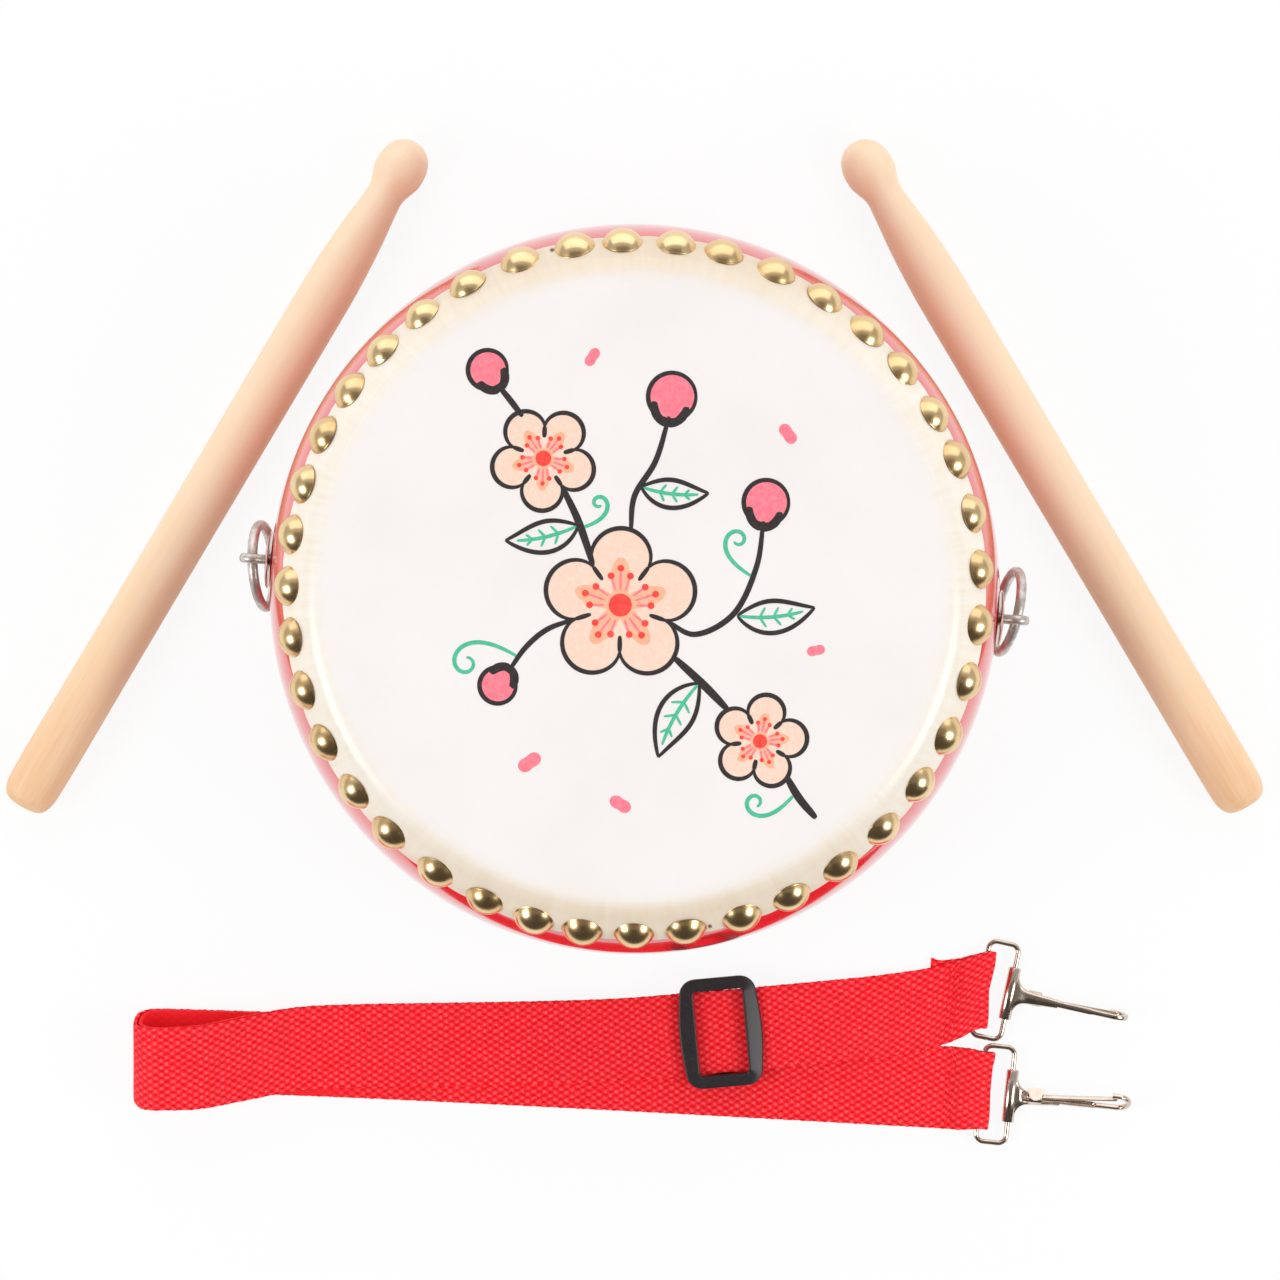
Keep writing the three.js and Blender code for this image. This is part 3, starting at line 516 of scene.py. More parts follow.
spray = {
    "line": 1.35, "film": 0.02,  # mm: width of a drawn line, thickness of one ink
    "twigs": [  # points and width; each stops at a blossom's edge
        ([(52, -66), (47, -60), (43.5, -54)], 2.3),
        ([(26.8, -35), (20, -28), (11.4, -20)], 2.4),
        ([(-11.8, 6.4), (-14.2, 14), (-16.4, 20), (-20.7, 29)], 2.2),
        ([(-32, 49), (-35, 53), (-39, 58)], 1.8),
        ([(9.4, -9.6), (17, -13.4), (28, -8), (35, 6), (37, 19)], 1.7),
        ([(-1, 16), (0, 26), (6, 36), (10, 49)], 1.7),
        ([(-17, -9), (-25, -12), (-31, -17), (-36, -24)], 1.6)],
    "blossoms": [(-4, -5, 22, 0.3), (-26, 37, 15, 0.9), (36, -44, 13.5, 0.1)],  # x, y, radius, spin
    "buds": [  # x, y, radius, heading
        (37, 20, 6.4, 1.4), (-40, 59, 5.6, 2.1), (10, 50, 6.8, 1.4), (-37, -25, 5.2, 4.1)],
    "leaves": [  # x, y, length, heading, bend
        (29, -8, 23, 0.1, 0.5), (-15.6, 18, 22, 3.35, -0.5), (1.6, 29, 20, -0.1, 0.5),
        (19, -27, 25, 4.2, 0.5)],
    "tendrils": [  # x, y, length, heading, hand
        (34, 3, 26, 2.6, -1), (-15.4, 17, 20, 0.3, 1), (-33, -20, 34, 2.6, 1), (46, -59, 26, 4.0, -1)],
    "petals": [  # x, y, radius, spin
        (-30, -50, 3.6, 0.6), (44, 44, 3.2, 2.2), (-12, 66, 2.8, 1.0), (-4, -62, 3.3, 2.6),
        (52, -18, 2.6, 0.2)],
}
drawn = {name: [] for name in inks}


def inkTop(ink):
    return drum["height"] + spray["film"] * (1 + list(inks).index(ink))


def inkPatch(ink, outline):
    drawn[ink].append(slab(outline, drum["height"] - spray["film"], inkTop(ink)))


def inkLine(ink, line, width=spray["line"]):  # a flat stroke, thinner at its two ends
    ahead = np.gradient(line, axis=0)
    film = inkTop(ink) - drum["height"] + spray["film"]
    swell = 0.45 + 0.55 * np.sin(np.pi * np.linspace(0, 1, len(line))) ** 0.4
    strip = roundSection(1, 1, 12, 6) * asPoints(width * swell, film)[:, None]
    path = asPoints(*line.T, inkTop(ink) - film / 2)
    drawn[ink].append(sweep(path, strip, asPoints(-ahead[:, 1], ahead[:, 0], 0)))


def lobe(angle):  # five round petals: each swells as a root of the cosine between two notches
    phase = (angle * 5 / tau + 0.5) % 1 - 0.5
    return 0.6 + 0.4 * np.maximum(np.cos(np.pi * phase), 0) ** 0.62


def drawBlossom(at, size, spin):
    around = fullTurn(200)
    inkPatch("pale", at + atAngle(around + spin, 0.97 * size * lobe(around)))
    inkPatch("peach", at + atAngle(around + spin, size * (0.4 + 0.22 * np.cos(5 * around))))
    inkPatch("red", at + atAngle(around, 0.15 * size))
    for k in range(5):
        middle = k * tau / 5
        edge = middle + np.linspace(-0.5, 0.5, 40) * tau / 5
        inkLine("black", at + atAngle(edge + spin, size * lobe(edge)))
        inkLine("black", at + atAngle(middle + tau / 10 + spin, size * np.linspace(0.62, 0.4, 10)))
        for turn, long in ((-0.32, 0.4), (0, 0.48), (0.32, 0.4)):  # threads with a dot each
            root = middle + turn + spin
            inkLine("pink", at + atAngle(root, size * np.linspace(0.2, long, 8)), 0.7)
            dot = at + atAngle(root, size * long)
            inkPatch("red", dot + atAngle(fullTurn(16), 0.045 * size))


def drawBud(at, size, heading):  # a round bud in a small cup
    at = at + atAngle(heading, size * 0.6)
    around = fullTurn(60)
    edge = at + atAngle(around, size * (1 + 0.1 * np.cos(around - heading)))
    inkPatch("pink", edge)
    inkLine("black", np.vstack([edge, edge[:4]]))
    for hand in (-1, 1):
        cup = heading + np.pi + hand * np.linspace(0, 1.25, 14)
        inkLine("black", at + atAngle(cup, size * np.linspace(1.1, 0.72, 14)), 1.9 * spray["line"])


def drawLeaf(at, length, heading, bend):  # two edges that part by a sine from a bent midrib
    s = np.linspace(0, 1, 40)
    turn = heading + bend * (s - 0.5)
    rib = at + np.cumsum(atAngle(turn, length / 40), 0)
    out = asPoints(-np.sin(turn), np.cos(turn)) * (0.2 * length * np.sin(np.pi * s ** 0.85))[:, None]
    inkLine("black", rib + out)
    inkLine("black", rib - out)
    inkLine("green", rib[:34], 1.1)
    t = np.linspace(0, 0.62, 8)[:, None]
    for k in (11, 18, 25):
        for hand in (-1, 1):
            inkLine("green", rib[k] + t * (rib[k + 5] - rib[k] + hand * out[k + 5]), 0.75)


def drawTendril(at, length, heading, hand):  # a line whose turn grows with the cube of the way along
    s = np.linspace(0, 1, 80)
    turn = heading + hand * (0.6 * s + 6.2 * s ** 3)
    inkLine("green", at + np.cumsum(atAngle(turn, length / 80), 0), 1.25)


def drawPetal(at, size, spin):  # fallen
    around = fullTurn(40)
    inkPatch("pink", at + atAngle(around + spin, size * (0.75 + 0.25 * np.cos(2 * around))))


for points, width in spray["twigs"]:
    inkLine("black", throughPoints(points, 12), width)
for kind, draw in (("blossoms", drawBlossom), ("buds", drawBud), ("leaves", drawLeaf),
                   ("tendrils", drawTendril), ("petals", drawPetal)):
    for x, y, *numbers in spray[kind]:
        draw(np.array([x, y]), *numbers)
for name, ink in inks.items():
    makePiece(name + "_print", drawn[name], ink, "drum")
print("print made")


# carrying rings with their split pins and plates

ring = {
    "wire": 1.5, "centre": 12.25, "lean": 10.0, "yaw": 8.0, "slip": 10.0,  # degrees in, round and along
    "eyeWire": 1.0, "eyeFlat": 2.8, "eyeCentre": 2.9, "eyeReach": 5.5,  # eye centre stands this far off
    "leg": 8.0, "legGap": 0.8, "behind": 1.5,  # the legs bend this far behind the wall
    "dish": [  # (radius, height) of the pressed plate round the pin
        (1.9, 0.3), (1.9, 1.5), (3.4, 1.6), (4.675, 1.35), (7.225, 1.05), (8.245, 0.8), (8.5, 0.55),
        (8.33, 0.32), (7.65, 0.28), (4.25, 0.5)],
}


def splitPin():  # the eye's wire runs back in two legs side by side, which spread behind the wall
    loop = arcPoints(ring["eyeReach"], 0, ring["eyeCentre"], -0.86 * np.pi, 0.86 * np.pi, 40)
    back, gap, leg = drum["wall"] + ring["behind"], ring["legGap"], ring["leg"]
    legs = []
    for hand, half in ((-1, loop[:20][::-1]), (1, loop[20:])):
        stem = [(1.6, gap + 0.05), (0, gap), (-0.5 * back, gap), (2 - back, gap + 0.05)]
        bend = [(-back, 2.4), (-back - 0.3, 0.6 * leg), (-back, leg)]
        flat = throughPoints(np.vstack([half[::4], np.array(stem + bend) * [1, hand]]), 6)
        legs.append(asPoints(flat[:, 0], 0, flat[:, 1]))
    pin = np.vstack([legs[0][::-1], legs[1][1:]])
    return sweep(pin, roundSection(ring["eyeFlat"], 2 * ring["eyeWire"], 16), (0, 1, 0))


def wireRing():  # a circle of wire about the Z axis
    path = asPoints(*atAngle(fullTurn(96), ring["centre"]).T, 0)
    return sweep(path, roundSection(2 * ring["wire"], 2 * ring["wire"], 20), (0, 0, 1), closed=True)


def makeRingSet(side):
    at = hinges[side + "_ring_swing"]["pos_m"]
    place = Matrix.Rotation(math.atan2(at[1], at[0]), 4, "Z")
    place = place @ Matrix.Translation((drum["radius"], 0, midHeight))
    upright = Matrix.Rotation(np.pi / 2, 4, "Y")
    hang = Matrix.Translation((ring["eyeReach"], 0, 0))  # in the eye, leaning in under the shell's bulge
    hand = 1 if side == "left" else -1
    for axis, degrees in (("Z", hand * ring["yaw"]), ("Y", ring["lean"]), ("X", ring["slip"])):
        hang = hang @ Matrix.Rotation(math.radians(degrees), 4, axis)
    down = hang @ Matrix.Translation((0, 0, -ring["centre"])) @ upright
    plate = revolve(np.array(ring["dish"]), 72, closed=True)
    for name, (grid, faces), move, material, body, node in (
            ("_plate", plate, place @ upright, nickel, "drum", "_ring_plate"),
            ("_split_pin", splitPin(), place, steel, "drum", "_ring_pin"),
            ("_ring", wireRing(), place @ down, steel, side + "_ring", "_carry_ring")):
        makePiece(side + name, [(turned(grid, move), faces)], material, body, [side + node])


makeRingSet("left")
makeRingSet("right")
print("rings made")


# drumsticks

stick = {
    "length": 234.0,
    "gap": 10.4, "angle": 30.7, "shift": -34.0,  # clear of the drum, lean in plan, slide along
    "profile": [  # (from the tip, radius), chosen from widths that a scratch script measured
        (0, 0), (0.5, 2.6), (1.2, 3.95), (2.4, 5.4), (3.6, 6.35), (4.9, 6.95), (6.7, 7.5), (9.1, 7.77),
        (11.5, 7.68), (13.4, 7.15), (15.2, 6.5), (17.2, 5.82), (18.9, 5.65), (21.5, 5.85), (25, 6.2),
        (31, 6.85), (40, 7.55), (51, 8.0), (60, 8.05), (110, 8.05), (170, 8.05), (226, 8.05), (229, 7.8),
        (231, 7.2), (232.6, 6.2), (233.6, 4.6), (234, 2.2), (234, 0)],
}


def makeStick(side, hand):
    curve = throughPoints([(r, -along) for along, r in stick["profile"]], 6)
    grid, faces = revolve(curve + [0, stick["length"] / 2], 72)
    grain = grid.reshape(-1, 3) * mm + [0.1 * hand, 0.05, 0.3]  # each stick is cut from its own place
    radius = max(r for _, r in stick["profile"])
    away, lean = drum["radius"] + stick["gap"] + radius, math.radians(stick["angle"])
    x = hand * (away * math.cos(lean) - stick["shift"] * math.sin(lean))
    y = away * math.sin(lean) + stick["shift"] * math.cos(lean)
    place = Matrix.Translation((x, y, radius)) @ Matrix.Rotation(hand * lean, 4, "Z")
    place = place @ Matrix.Rotation(-np.pi / 2, 4, "X")
    makePiece(side + "_stick", [(turned(grid, place), faces)], wood, side + "_stick",
              [side + "_drumstick"], attributes={"grain": grain})


makeStick("left", -1)
makeStick("right", 1)
print("sticks made")


# strap webbing, along the frame's own route

strap = {
    "width": 25.0, "thick": 1.3, "gap": 0.3, "run": 257.0,
    "step": 0.65, "selvage": 0.07, "pick": 1.8,  # mm between rows, size and spacing of the selvage's bumps
    "foldHeight": 15.4, "foldLength": 68.0, "foldRoll": 6.0, "foldSkew": 5.0,
    "bendFrom": 130.0, "straightFrom": 160.0, "straightTo": 210.0,
    "slider": 178.0, "earlyYaw": 1.0, "sliderYaw": 5.2, "middleBar": 4.0, "middleBarHeight": 1.5,
    "hem": 15.6, "hemSkew": 1.9, "hemPlay": 1.3, "upperHemYaw": -7.0,
    "endBend": 4.5, "hemDrop": 0.6, "hemLift": 0.9, "hemWaist": 0.8, "tuft": 0.9,
    "stitchRows": (7.6, 9.4), "stitchLength": 2.3, "stitchPitch": 2.9, "thread": 0.55,  # rows: from the end
    "dent": 1.1, "dentPlace": (-1.0, 4.0),  # mm in, and where across the upper and the lower end
    "endReach": 5.0,  # how far the dent and the waist die away
    "wire": 0.8, "edgePlay": 0.75, "loopPlay": 1.35, "loopGap": 2.6,
}


def hookYaw(side):  # the hook's turn in plan, from its hinge
    axis = hinges[side + "_loop_swing"]["axis"]
    return math.atan2(axis[0], -axis[1])


def hemYaw(upper):  # the upper hem turns less than its hook
    return math.radians(strap["upperHemYaw"]) if upper else hookYaw("lower")


layer = strap["thick"] + strap["gap"]
ground = strap["thick"] / 2 + strap["gap"] / 2
outerLevel = ground + layer + strap["thick"] + 2 * strap["gap"] + strap["middleBarHeight"]
pressed = ground + layer
wrap = strap["wire"] + strap["gap"] + strap["thick"] / 2
wireLevel = ground + wrap
spread = strap["width"] + 2 * strap["loopPlay"] + 4 * strap["wire"] + strap["loopGap"]
upperEnd, lowerEnd = 0.56 * spread, -0.4 * spread
upperHem, lowerHem = upperEnd - strap["hemDrop"], lowerEnd + strap["hemLift"]
strapOrigin = hingeAt("upper_loop_swing") * [1, 1, 0] - [strap["run"], upperEnd, 0]


def upperLine(x):  # plan of the upper run: nearly straight, a bend, the slider's stretch, a bend to the hook
    early = math.tan(math.radians(strap["earlyYaw"]))
    more = math.tan(math.radians(strap["sliderYaw"])) - early
    bendLength = strap["straightFrom"] - strap["bendFrom"]

    def steady(along):
        bent = np.clip(along - strap["bendFrom"], 0, bendLength)
        past = np.maximum(along - strap["straightFrom"], 0)
        return early * np.maximum(along, 0) + more * (bent ** 2 / (2 * bendLength) + past)

    last = np.maximum(x - strap["straightTo"], 0) / (strap["run"] - strap["straightTo"])
    return steady(x) + (upperHem - steady(strap["run"])) * last ** strap["endBend"]


def lowerLine(x):
    return lowerHem * (np.maximum(x, 0) / strap["run"]) ** 1.2


def acrossAt(yaw, roll):  # the webbing's width as a direction
    return asPoints(-np.sin(yaw), np.cos(yaw) * np.cos(roll), np.sin(roll))


def strapStations(points, upper):  # (along, height) to points and widths, rolled near the fold
    x, z = np.asarray(points, float).T
    line = upperLine if upper else lowerLine
    along = np.arctan(line(x + 1) - line(x))
    near = smoothStep(x, strap["straightTo"], strap["run"] - 2 * wrap)
    roll = math.radians(strap["foldRoll"]) * (1 - smoothStep(x, 0, strap["foldLength"]))
    yaw = along + (hemYaw(upper) - along) * near
    lift = strap["width"] / 2 * np.sin(roll)
    aside = strap["foldSkew"] * smoothStep(z, ground, ground + strap["foldHeight"])
    aside = aside * (1 - smoothStep(x, 0.3 * strap["foldLength"], strap["foldLength"]))
    return np.concatenate([asPoints(x, line(x) - aside, z + lift), acrossAt(yaw, roll)], 1)


def wrapStations(upper):  # half a turn round a hook's wire
    yaw = hemYaw(upper)
    x, z = arcPoints(strap["hemPlay"], wireLevel, wrap, -np.pi / 2, np.pi / 2, 9).T
    y = (upperHem if upper else lowerHem) + x * math.sin(yaw)
    return np.concatenate([asPoints(strap["run"] + x * math.cos(yaw), y, z), acrossAt(yaw + 0 * x, 0.0)], 1)


def foldLine(inset):  # the open loop of one layer: closing ramp, round end, and out along the ground
    bottom, top = ground + inset, ground + strap["foldHeight"] - inset
    half, nose, start = (top - bottom) / 2, ground + inset, outerLevel - inset
    ramp = [(strap["foldLength"] * a, start + (top - start) * r)
            for a, r in ((1, 0), (0.74, 0.13), (0.5, 0.5), (0.3, 0.88))]
    bend = arcPoints(nose + half * 1.1, (bottom + top) / 2, half, np.pi / 2, 1.5 * np.pi, 9)
    bend[:, 0] = nose + (bend[:, 0] - nose) * 1.1 - half * 0.11
    return np.vstack([ramp, bend, [[strap["foldLength"] * 0.4, bottom]]])


def strapRoute():
    run, hem = strap["run"], strap["hem"]
    hemStart = run - hem
    rise = [(run - 3 * wrap, wireLevel + wrap), (run - 0.6 * hem, pressed)]
    outer, inner = foldLine(0), foldLine(layer)[::-1]
    innerEnd = strap["slider"] - strap["middleBar"] / 2 - strap["gap"]
    upTop = [*rise, (hemStart, pressed), ((strap["straightTo"] + hemStart) / 2, (outerLevel + pressed) / 2)]
    middle = (strap["bendFrom"] + strap["foldLength"]) / 2
    level = [(x, outerLevel) for x in (
        strap["straightTo"], strap["slider"], strap["straightFrom"], strap["bendFrom"], middle)]
    away = [0.25, 0.45, 0.65, 0.85]  # shares of the lower run
    hemLine = strapStations([(hemStart, ground), (run - hem / 2, ground)], True)
    hemLine[:, 1] += [strap["hemSkew"], 0.3 * strap["hemSkew"]]
    return np.concatenate([
        hemLine,
        wrapStations(True),
        strapStations(upTop + level, True),
        strapStations(outer[:8], True),
        strapStations(outer[8:], False),
        strapStations([(run * s, ground) for s in away], False),
        wrapStations(False),
        strapStations(rise, False),
        strapStations([(run * s, pressed) for s in away[::-1]], False),
        strapStations(inner[:6], False),
        strapStations(inner[6:], True),
        strapStations([(innerEnd * s, outerLevel - layer) for s in (0.5, 0.7, 0.85, 1)], True)])


def makeStrap():
    # the route's points and widths on one spline, evenly spaced; a flat section with round selvages
    curve = throughPoints(strapRoute(), 12)
    far = pathLength(curve[:, :3])
    run = np.linspace(0, far[-1], round(far[-1] / strap["step"]))
    curve = asPoints(*(np.interp(run, far, column) for column in curve.T))
    path, side = curve[:, :3], curve[:, 3:]
    flat = roundSection(strap["width"], strap["thick"], 56, 9)
    u, half = flat[:, 0], strap["width"] / 2
    grid, faces = sweep(path, flat, side)
    v, along, sideways = (
        np.concatenate([row[:1], row, row[-1:]])[:, None] for row in (run, path[:, 0], side))
    # selvages bump at every pick, unevenly; the cut corner of the hem stands out as a tuft
    edge = np.sign(u) * smoothStep(np.abs(u), half - 1.2, half)
    bumps = np.sin(tau * v / strap["pick"]) + 0.7 * np.sin(tau * v / 5.3 + edge) + 0.6 * np.sin(tau * v / 2.3)
    tuft = strap["tuft"] * np.exp(-(v / 1.5) ** 2) * np.maximum(edge, 0)
    grid = grid + sideways * (strap["selvage"] * bumps * edge + tuft)[..., None]
    # each hook end is drawn in, and dented by a bell across the width, which dies away along the hem
    end = strap["run"] + strap["hemPlay"]
    ends = np.exp(-((grid[..., 0].mean(1, keepdims=True) - end) / strap["endReach"]) ** 2)
    middle = np.where(grid[..., 1].mean(1, keepdims=True) > 0, *strap["dentPlace"])
    grid[..., 0] -= strap["dent"] * ends * np.exp(-((u - middle) / strap["endReach"]) ** 2)
    grid -= sideways * (strap["hemWaist"] * ends * u / half)[..., None]
    # inside the open loop, marked for the webbing's painted shade
    inLoop = 1 - smoothStep(along, 0.75 * strap["foldLength"], 1.05 * strap["foldLength"])
    fold = (v > run[-1] / 2) * inLoop + 0 * u
    weave = asPoints(v, u + half, flat[:, 1])
    piece = makePiece("red_webbing_strap", [(grid + strapOrigin, faces)], webbing, "strap",
                      ["strap_webbing"], attributes={"weave": weave.reshape(-1, 3), "fold": fold.ravel()})
    print(f"strap made, {run[-1]:.0f} mm of webbing")
    return path, side


def makeStitches(path, side):
    # each stitch is a short thread laid across the hem: a half sine over the webbing, its ends in it
    above = path[:, 2] > ground + layer / 2
    reach = strap["width"] / 2 - strap["stitchLength"]
    s = np.linspace(0, 1, 9)[:, None]
    rise = strap["thick"] / 2 + strap["thread"] * (0.75 * np.sin(np.pi * s) - 0.5)
    parts = []
    for upper in (True, False):
        for row in strap["stitchRows"]:
            miss = np.abs(path[:, 0] - strap["run"] + row) + 1e3 * (~above | ((path[:, 1] > 0) != upper))
            at = int(np.argmin(miss))
            up = unit(np.cross(path[at + 1] - path[at - 1], side[at]))
            up = up * np.sign(up[2])
            for middle in np.arange(-reach, reach, strap["stitchPitch"]):
                across = middle + (s - 0.5) * strap["stitchLength"]
                line = path[at] + side[at] * across + up * rise + strapOrigin
                parts.append(sweep(line, roundSection(strap["thread"], strap["thread"], 10), up))
    fibres = np.concatenate([grid.reshape(-1, 3) for grid, _ in parts])
    makePiece("hem_stitches", parts, webbing, "strap", attributes={"weave": fibres})


makeStitches(*makeStrap())
print("hems stitched")


# slider: two side bars over the webbing and a middle bar under it

slider = {
    "length": 23.4, "sideBar": 4.2, "endBar": 3.4, "bow": 0.9, "height": 2.4, "corner": 3.0,
    "endIn": 0.45, "lean": 20.0,  # the ends reach in to the webbing; one bar's face leans outward, in degrees
}


def makeSlider():
    inside = strap["width"] / 2 + strap["edgePlay"]
    level = outerLevel + strap["thick"] / 2 + strap["gap"] + slider["height"] / 2
    foot = pressed + strap["thick"] / 2 + strap["gap"]
    x, y = (slider["length"] - slider["sideBar"]) / 2, inside + (slider["endBar"] - slider["endIn"]) / 2
    corner = slider["corner"]
    rounds = roundCorners(-x, x, y, corner)
    s = np.linspace(0, 1, 12)[1:-1, None]
    line = []
    for k, aside in enumerate((0, -1, 0, 1)):  # straight ends; only the sides' outer edges bow, by a sine
        start, end = rounds[k][-1], rounds[(k + 1) % 4][0]
        bow = np.sin(np.pi * s) * slider["bow"] / 2 * [aside, 0]
        line += [rounds[k], start + (end - start) * s + bow]
    line = np.vstack(line)
    across = line[:, 0]
    endWidth = slider["endBar"] + slider["endIn"]
    width = endWidth + (slider["sideBar"] - endWidth) * smoothStep(np.abs(across), x - corner, x)
    width = width + 2 * np.maximum(np.abs(across) - x, 0)
    bars = roundSection(1, 1, 32, 7) * asPoints(slider["height"], width)[:, None]
    grid, faces = sweep(asPoints(*line.T, level), bars, (0, 0, 1), closed=True)
    leaning = smoothStep(across, x - corner, x)[:, None] * (grid[..., 2] > level)
    grid[..., 2] -= math.tan(math.radians(slider["lean"])) * leaning * (grid[..., 0] - across[:, None])
    parts = [(grid, faces)]
    bar = asPoints(0, np.linspace(-y, y, 9), foot + strap["middleBarHeight"] / 2)
    parts.append(sweep(bar, roundSection(strap["middleBarHeight"], strap["middleBar"], 24, 4), (0, 0, 1)))
    postSection = roundSection(2 * strap["middleBar"], 0.8 * slider["endBar"], 24, 5)
    for hand in (-1, 1):
        parts.append(sweep(asPoints(0, hand * y, np.linspace(foot, level, 6)), postSection, (1, 0, 0)))
    at = strapOrigin + [strap["slider"], float(upperLine(np.array(strap["slider"]))), 0]
    place = Matrix.Translation(at.tolist()) @ Matrix.Rotation(math.radians(strap["sliderYaw"]), 4, "Z")
    makePiece("black_slider", [(turned(g, place), f) for g, f in parts], plastic, "slider",
              ["strap_slider"])


makeSlider()
print("slider made")


# snap hooks: wire loop, folded sheet body with a nose, collar and spring gate

hook = {
    "loopDepth": 9.2, "corner": 2.4, "sleeve": 16.0, "sheet": 0.8, "reach": 36.5,
    "neckRoot": 4.4, "neckLength": 15.0, "neckDeep": 2.6, "neckTaper": 0.5,
    "fillet": 1.1, "gathered": 6.0,  # how fast the sheet gathers, and where it has
    "armWidth": 2.0, "armHeight": 1.6, "channelEnd": 25.0, "nose": 9.0, "noseTip": 1.6,
    "gate": 0.6, "gateBow": 0.25,
    "collarPlace": 7.5, "collarLength": 4.0, "collarSheet": 0.4, "collarBase": -0.4,
    "shield": [(-2.6, 2.0), (0, 2.3), (2.6, 2.0), (2.2, 0.4), (1.3, -1.5), (0, -1.9), (-1.3, -1.5),
               (-2.2, 0.4)],
    "upper": {"tilt": 11.0, "lean": 6.0}, "lower": {"tilt": 2.6, "lean": -32.0},  # degrees
}
bore = strap["wire"] + strap["gap"]
neckStart, neckEnd = bore + 0.3, hook["neckLength"]
coneEnd = hook["armWidth"] + 2 * strap["gap"]
noseAt = hook["reach"] - hook["nose"] / 2


def channel(sunk):  # a soft bar whose top sinks, where sunk is 1, by a bell across its width
    x, y = roundSection(1, 1, 40, 2.8).T
    bell = np.clip(1 - (2 * x) ** 2, 0, 1) ** 2 * (y > 0)
    return asPoints(x, y * (1 - 1.4 * bell * sunk[:, None]))


def wireLoop():  # a rounded rectangle of round wire
    half = strap["width"] / 2 + strap["loopPlay"] + strap["wire"]
    line = np.vstack(roundCorners(0, hook["loopDepth"], half, hook["corner"]))
    wire = roundSection(2 * strap["wire"], 2 * strap["wire"], 14)
    return sweep(asPoints(*line.T, 0), wire, (0, 0, 1), closed=True)


def hookSleeve():  # sheet rolled round the loop's far bar
    outer, half, soft = bore + hook["sheet"], hook["sleeve"] / 2, 0.2
    roll = np.array([[bore, -half], [outer - soft, -half], [outer, soft - half],
                     [outer, half - soft], [outer - soft, half], [bore, half]])
    return revolve(roll, 28, closed=True)


def hookNeck(lean):  # sheet gathered from the sleeve to a cone, by a falling exponential, and twisted
    gathered = hook["gathered"]
    x = np.concatenate([np.linspace(neckStart, gathered, 20), np.linspace(gathered + 0.5, neckEnd, 12)])
    along = smoothStep(x, neckStart + 1, gathered)
    share = (x - neckStart) / (neckEnd - neckStart)
    width = hook["neckRoot"] + (coneEnd - hook["neckRoot"]) * share
    width = width + (0.86 * hook["sleeve"] - hook["neckRoot"]) * np.exp(-(x - neckStart) / hook["fillet"])
    deep = hook["neckDeep"] - hook["neckTaper"] * share
    middle = (hook["armHeight"] / 2 - deep / 2) * along
    twist = lean * along
    path = asPoints(x, -np.sin(twist) * middle, np.cos(twist) * middle)
    across = asPoints(0, np.cos(twist), np.sin(twist))
    return sweep(path, channel(along) * asPoints(width, deep)[:, None], across)


def hookArm():  # a channel that goes on as a flat bar and ends in a half-round nose
    rise = hook["nose"] / 2 - hook["armHeight"] / 2
    turn = arcPoints(noseAt, rise, rise, -np.pi / 2, np.pi / 2, 18)
    straight = asPoints(np.linspace(neckEnd - 2, noseAt, 48), 0)
    line = np.vstack([straight, turn[1:], [[noseAt - hook["noseTip"], hook["nose"] - hook["armHeight"]]]])
    fade = np.searchsorted(straight[:, 0], hook["channelEnd"] + np.array([-0.5, 1]))
    flat = smoothStep(np.arange(len(line)), *fade)
    section = asPoints(hook["armWidth"] * (1 - 0.2 * flat), hook["armHeight"] * (1 - 0.12 * flat))
    return sweep(asPoints(line[:, 0], 0, line[:, 1]), channel(1 - flat) * section[:, None], (0, 1, 0))


def hookCollar():  # a clip that stands out of the channel over the gate's root, with a shield for the thumb
    t, base = hook["collarSheet"], hook["collarBase"]
    crest = hook["armHeight"] / 2 + hook["gate"] + 2.5 * strap["gap"]
    grip = np.interp(hook["collarPlace"], [neckStart, neckEnd], [hook["neckRoot"], coneEnd]) + t
    band = roundSection(grip, crest - base + t, 40, 4)
    path = asPoints(hook["collarPlace"], band[:, 0], band[:, 1] + (crest + base) / 2)
    shield = throughPoints(hook["shield"] + hook["shield"][:1], 5)[:-1] + [hook["collarPlace"], 0]
    return [sweep(path, roundSection(hook["collarLength"], t, 20, 4), (1, 0, 0), closed=True),
            slab(shield, crest + 0.6 * t, crest + 1.6 * t)]


def hookGate():  # a springy leaf from the collar to under the nose, slightly bowed
    pivot = hook["armHeight"] / 2 + strap["gap"] + hook["gate"] / 2
    tip = hook["nose"] - 1.5 * hook["armHeight"] - strap["gap"] - hook["gate"]
    tail = hook["collarPlace"] - hook["collarLength"] / 2 + strap["gap"]
    s = np.linspace(0, 1, 24)
    leaf = asPoints(hook["collarPlace"] + s * (noseAt - hook["collarPlace"]), 0,
                    pivot + (tip - pivot) * s - hook["gateBow"] * np.sin(np.pi * s))
    leaf = np.vstack([[[tail, 0, pivot]], leaf])
    return sweep(leaf, roundSection(hook["armWidth"] - 2 * strap["gap"], hook["gate"], 20, 4), (0, 1, 0))


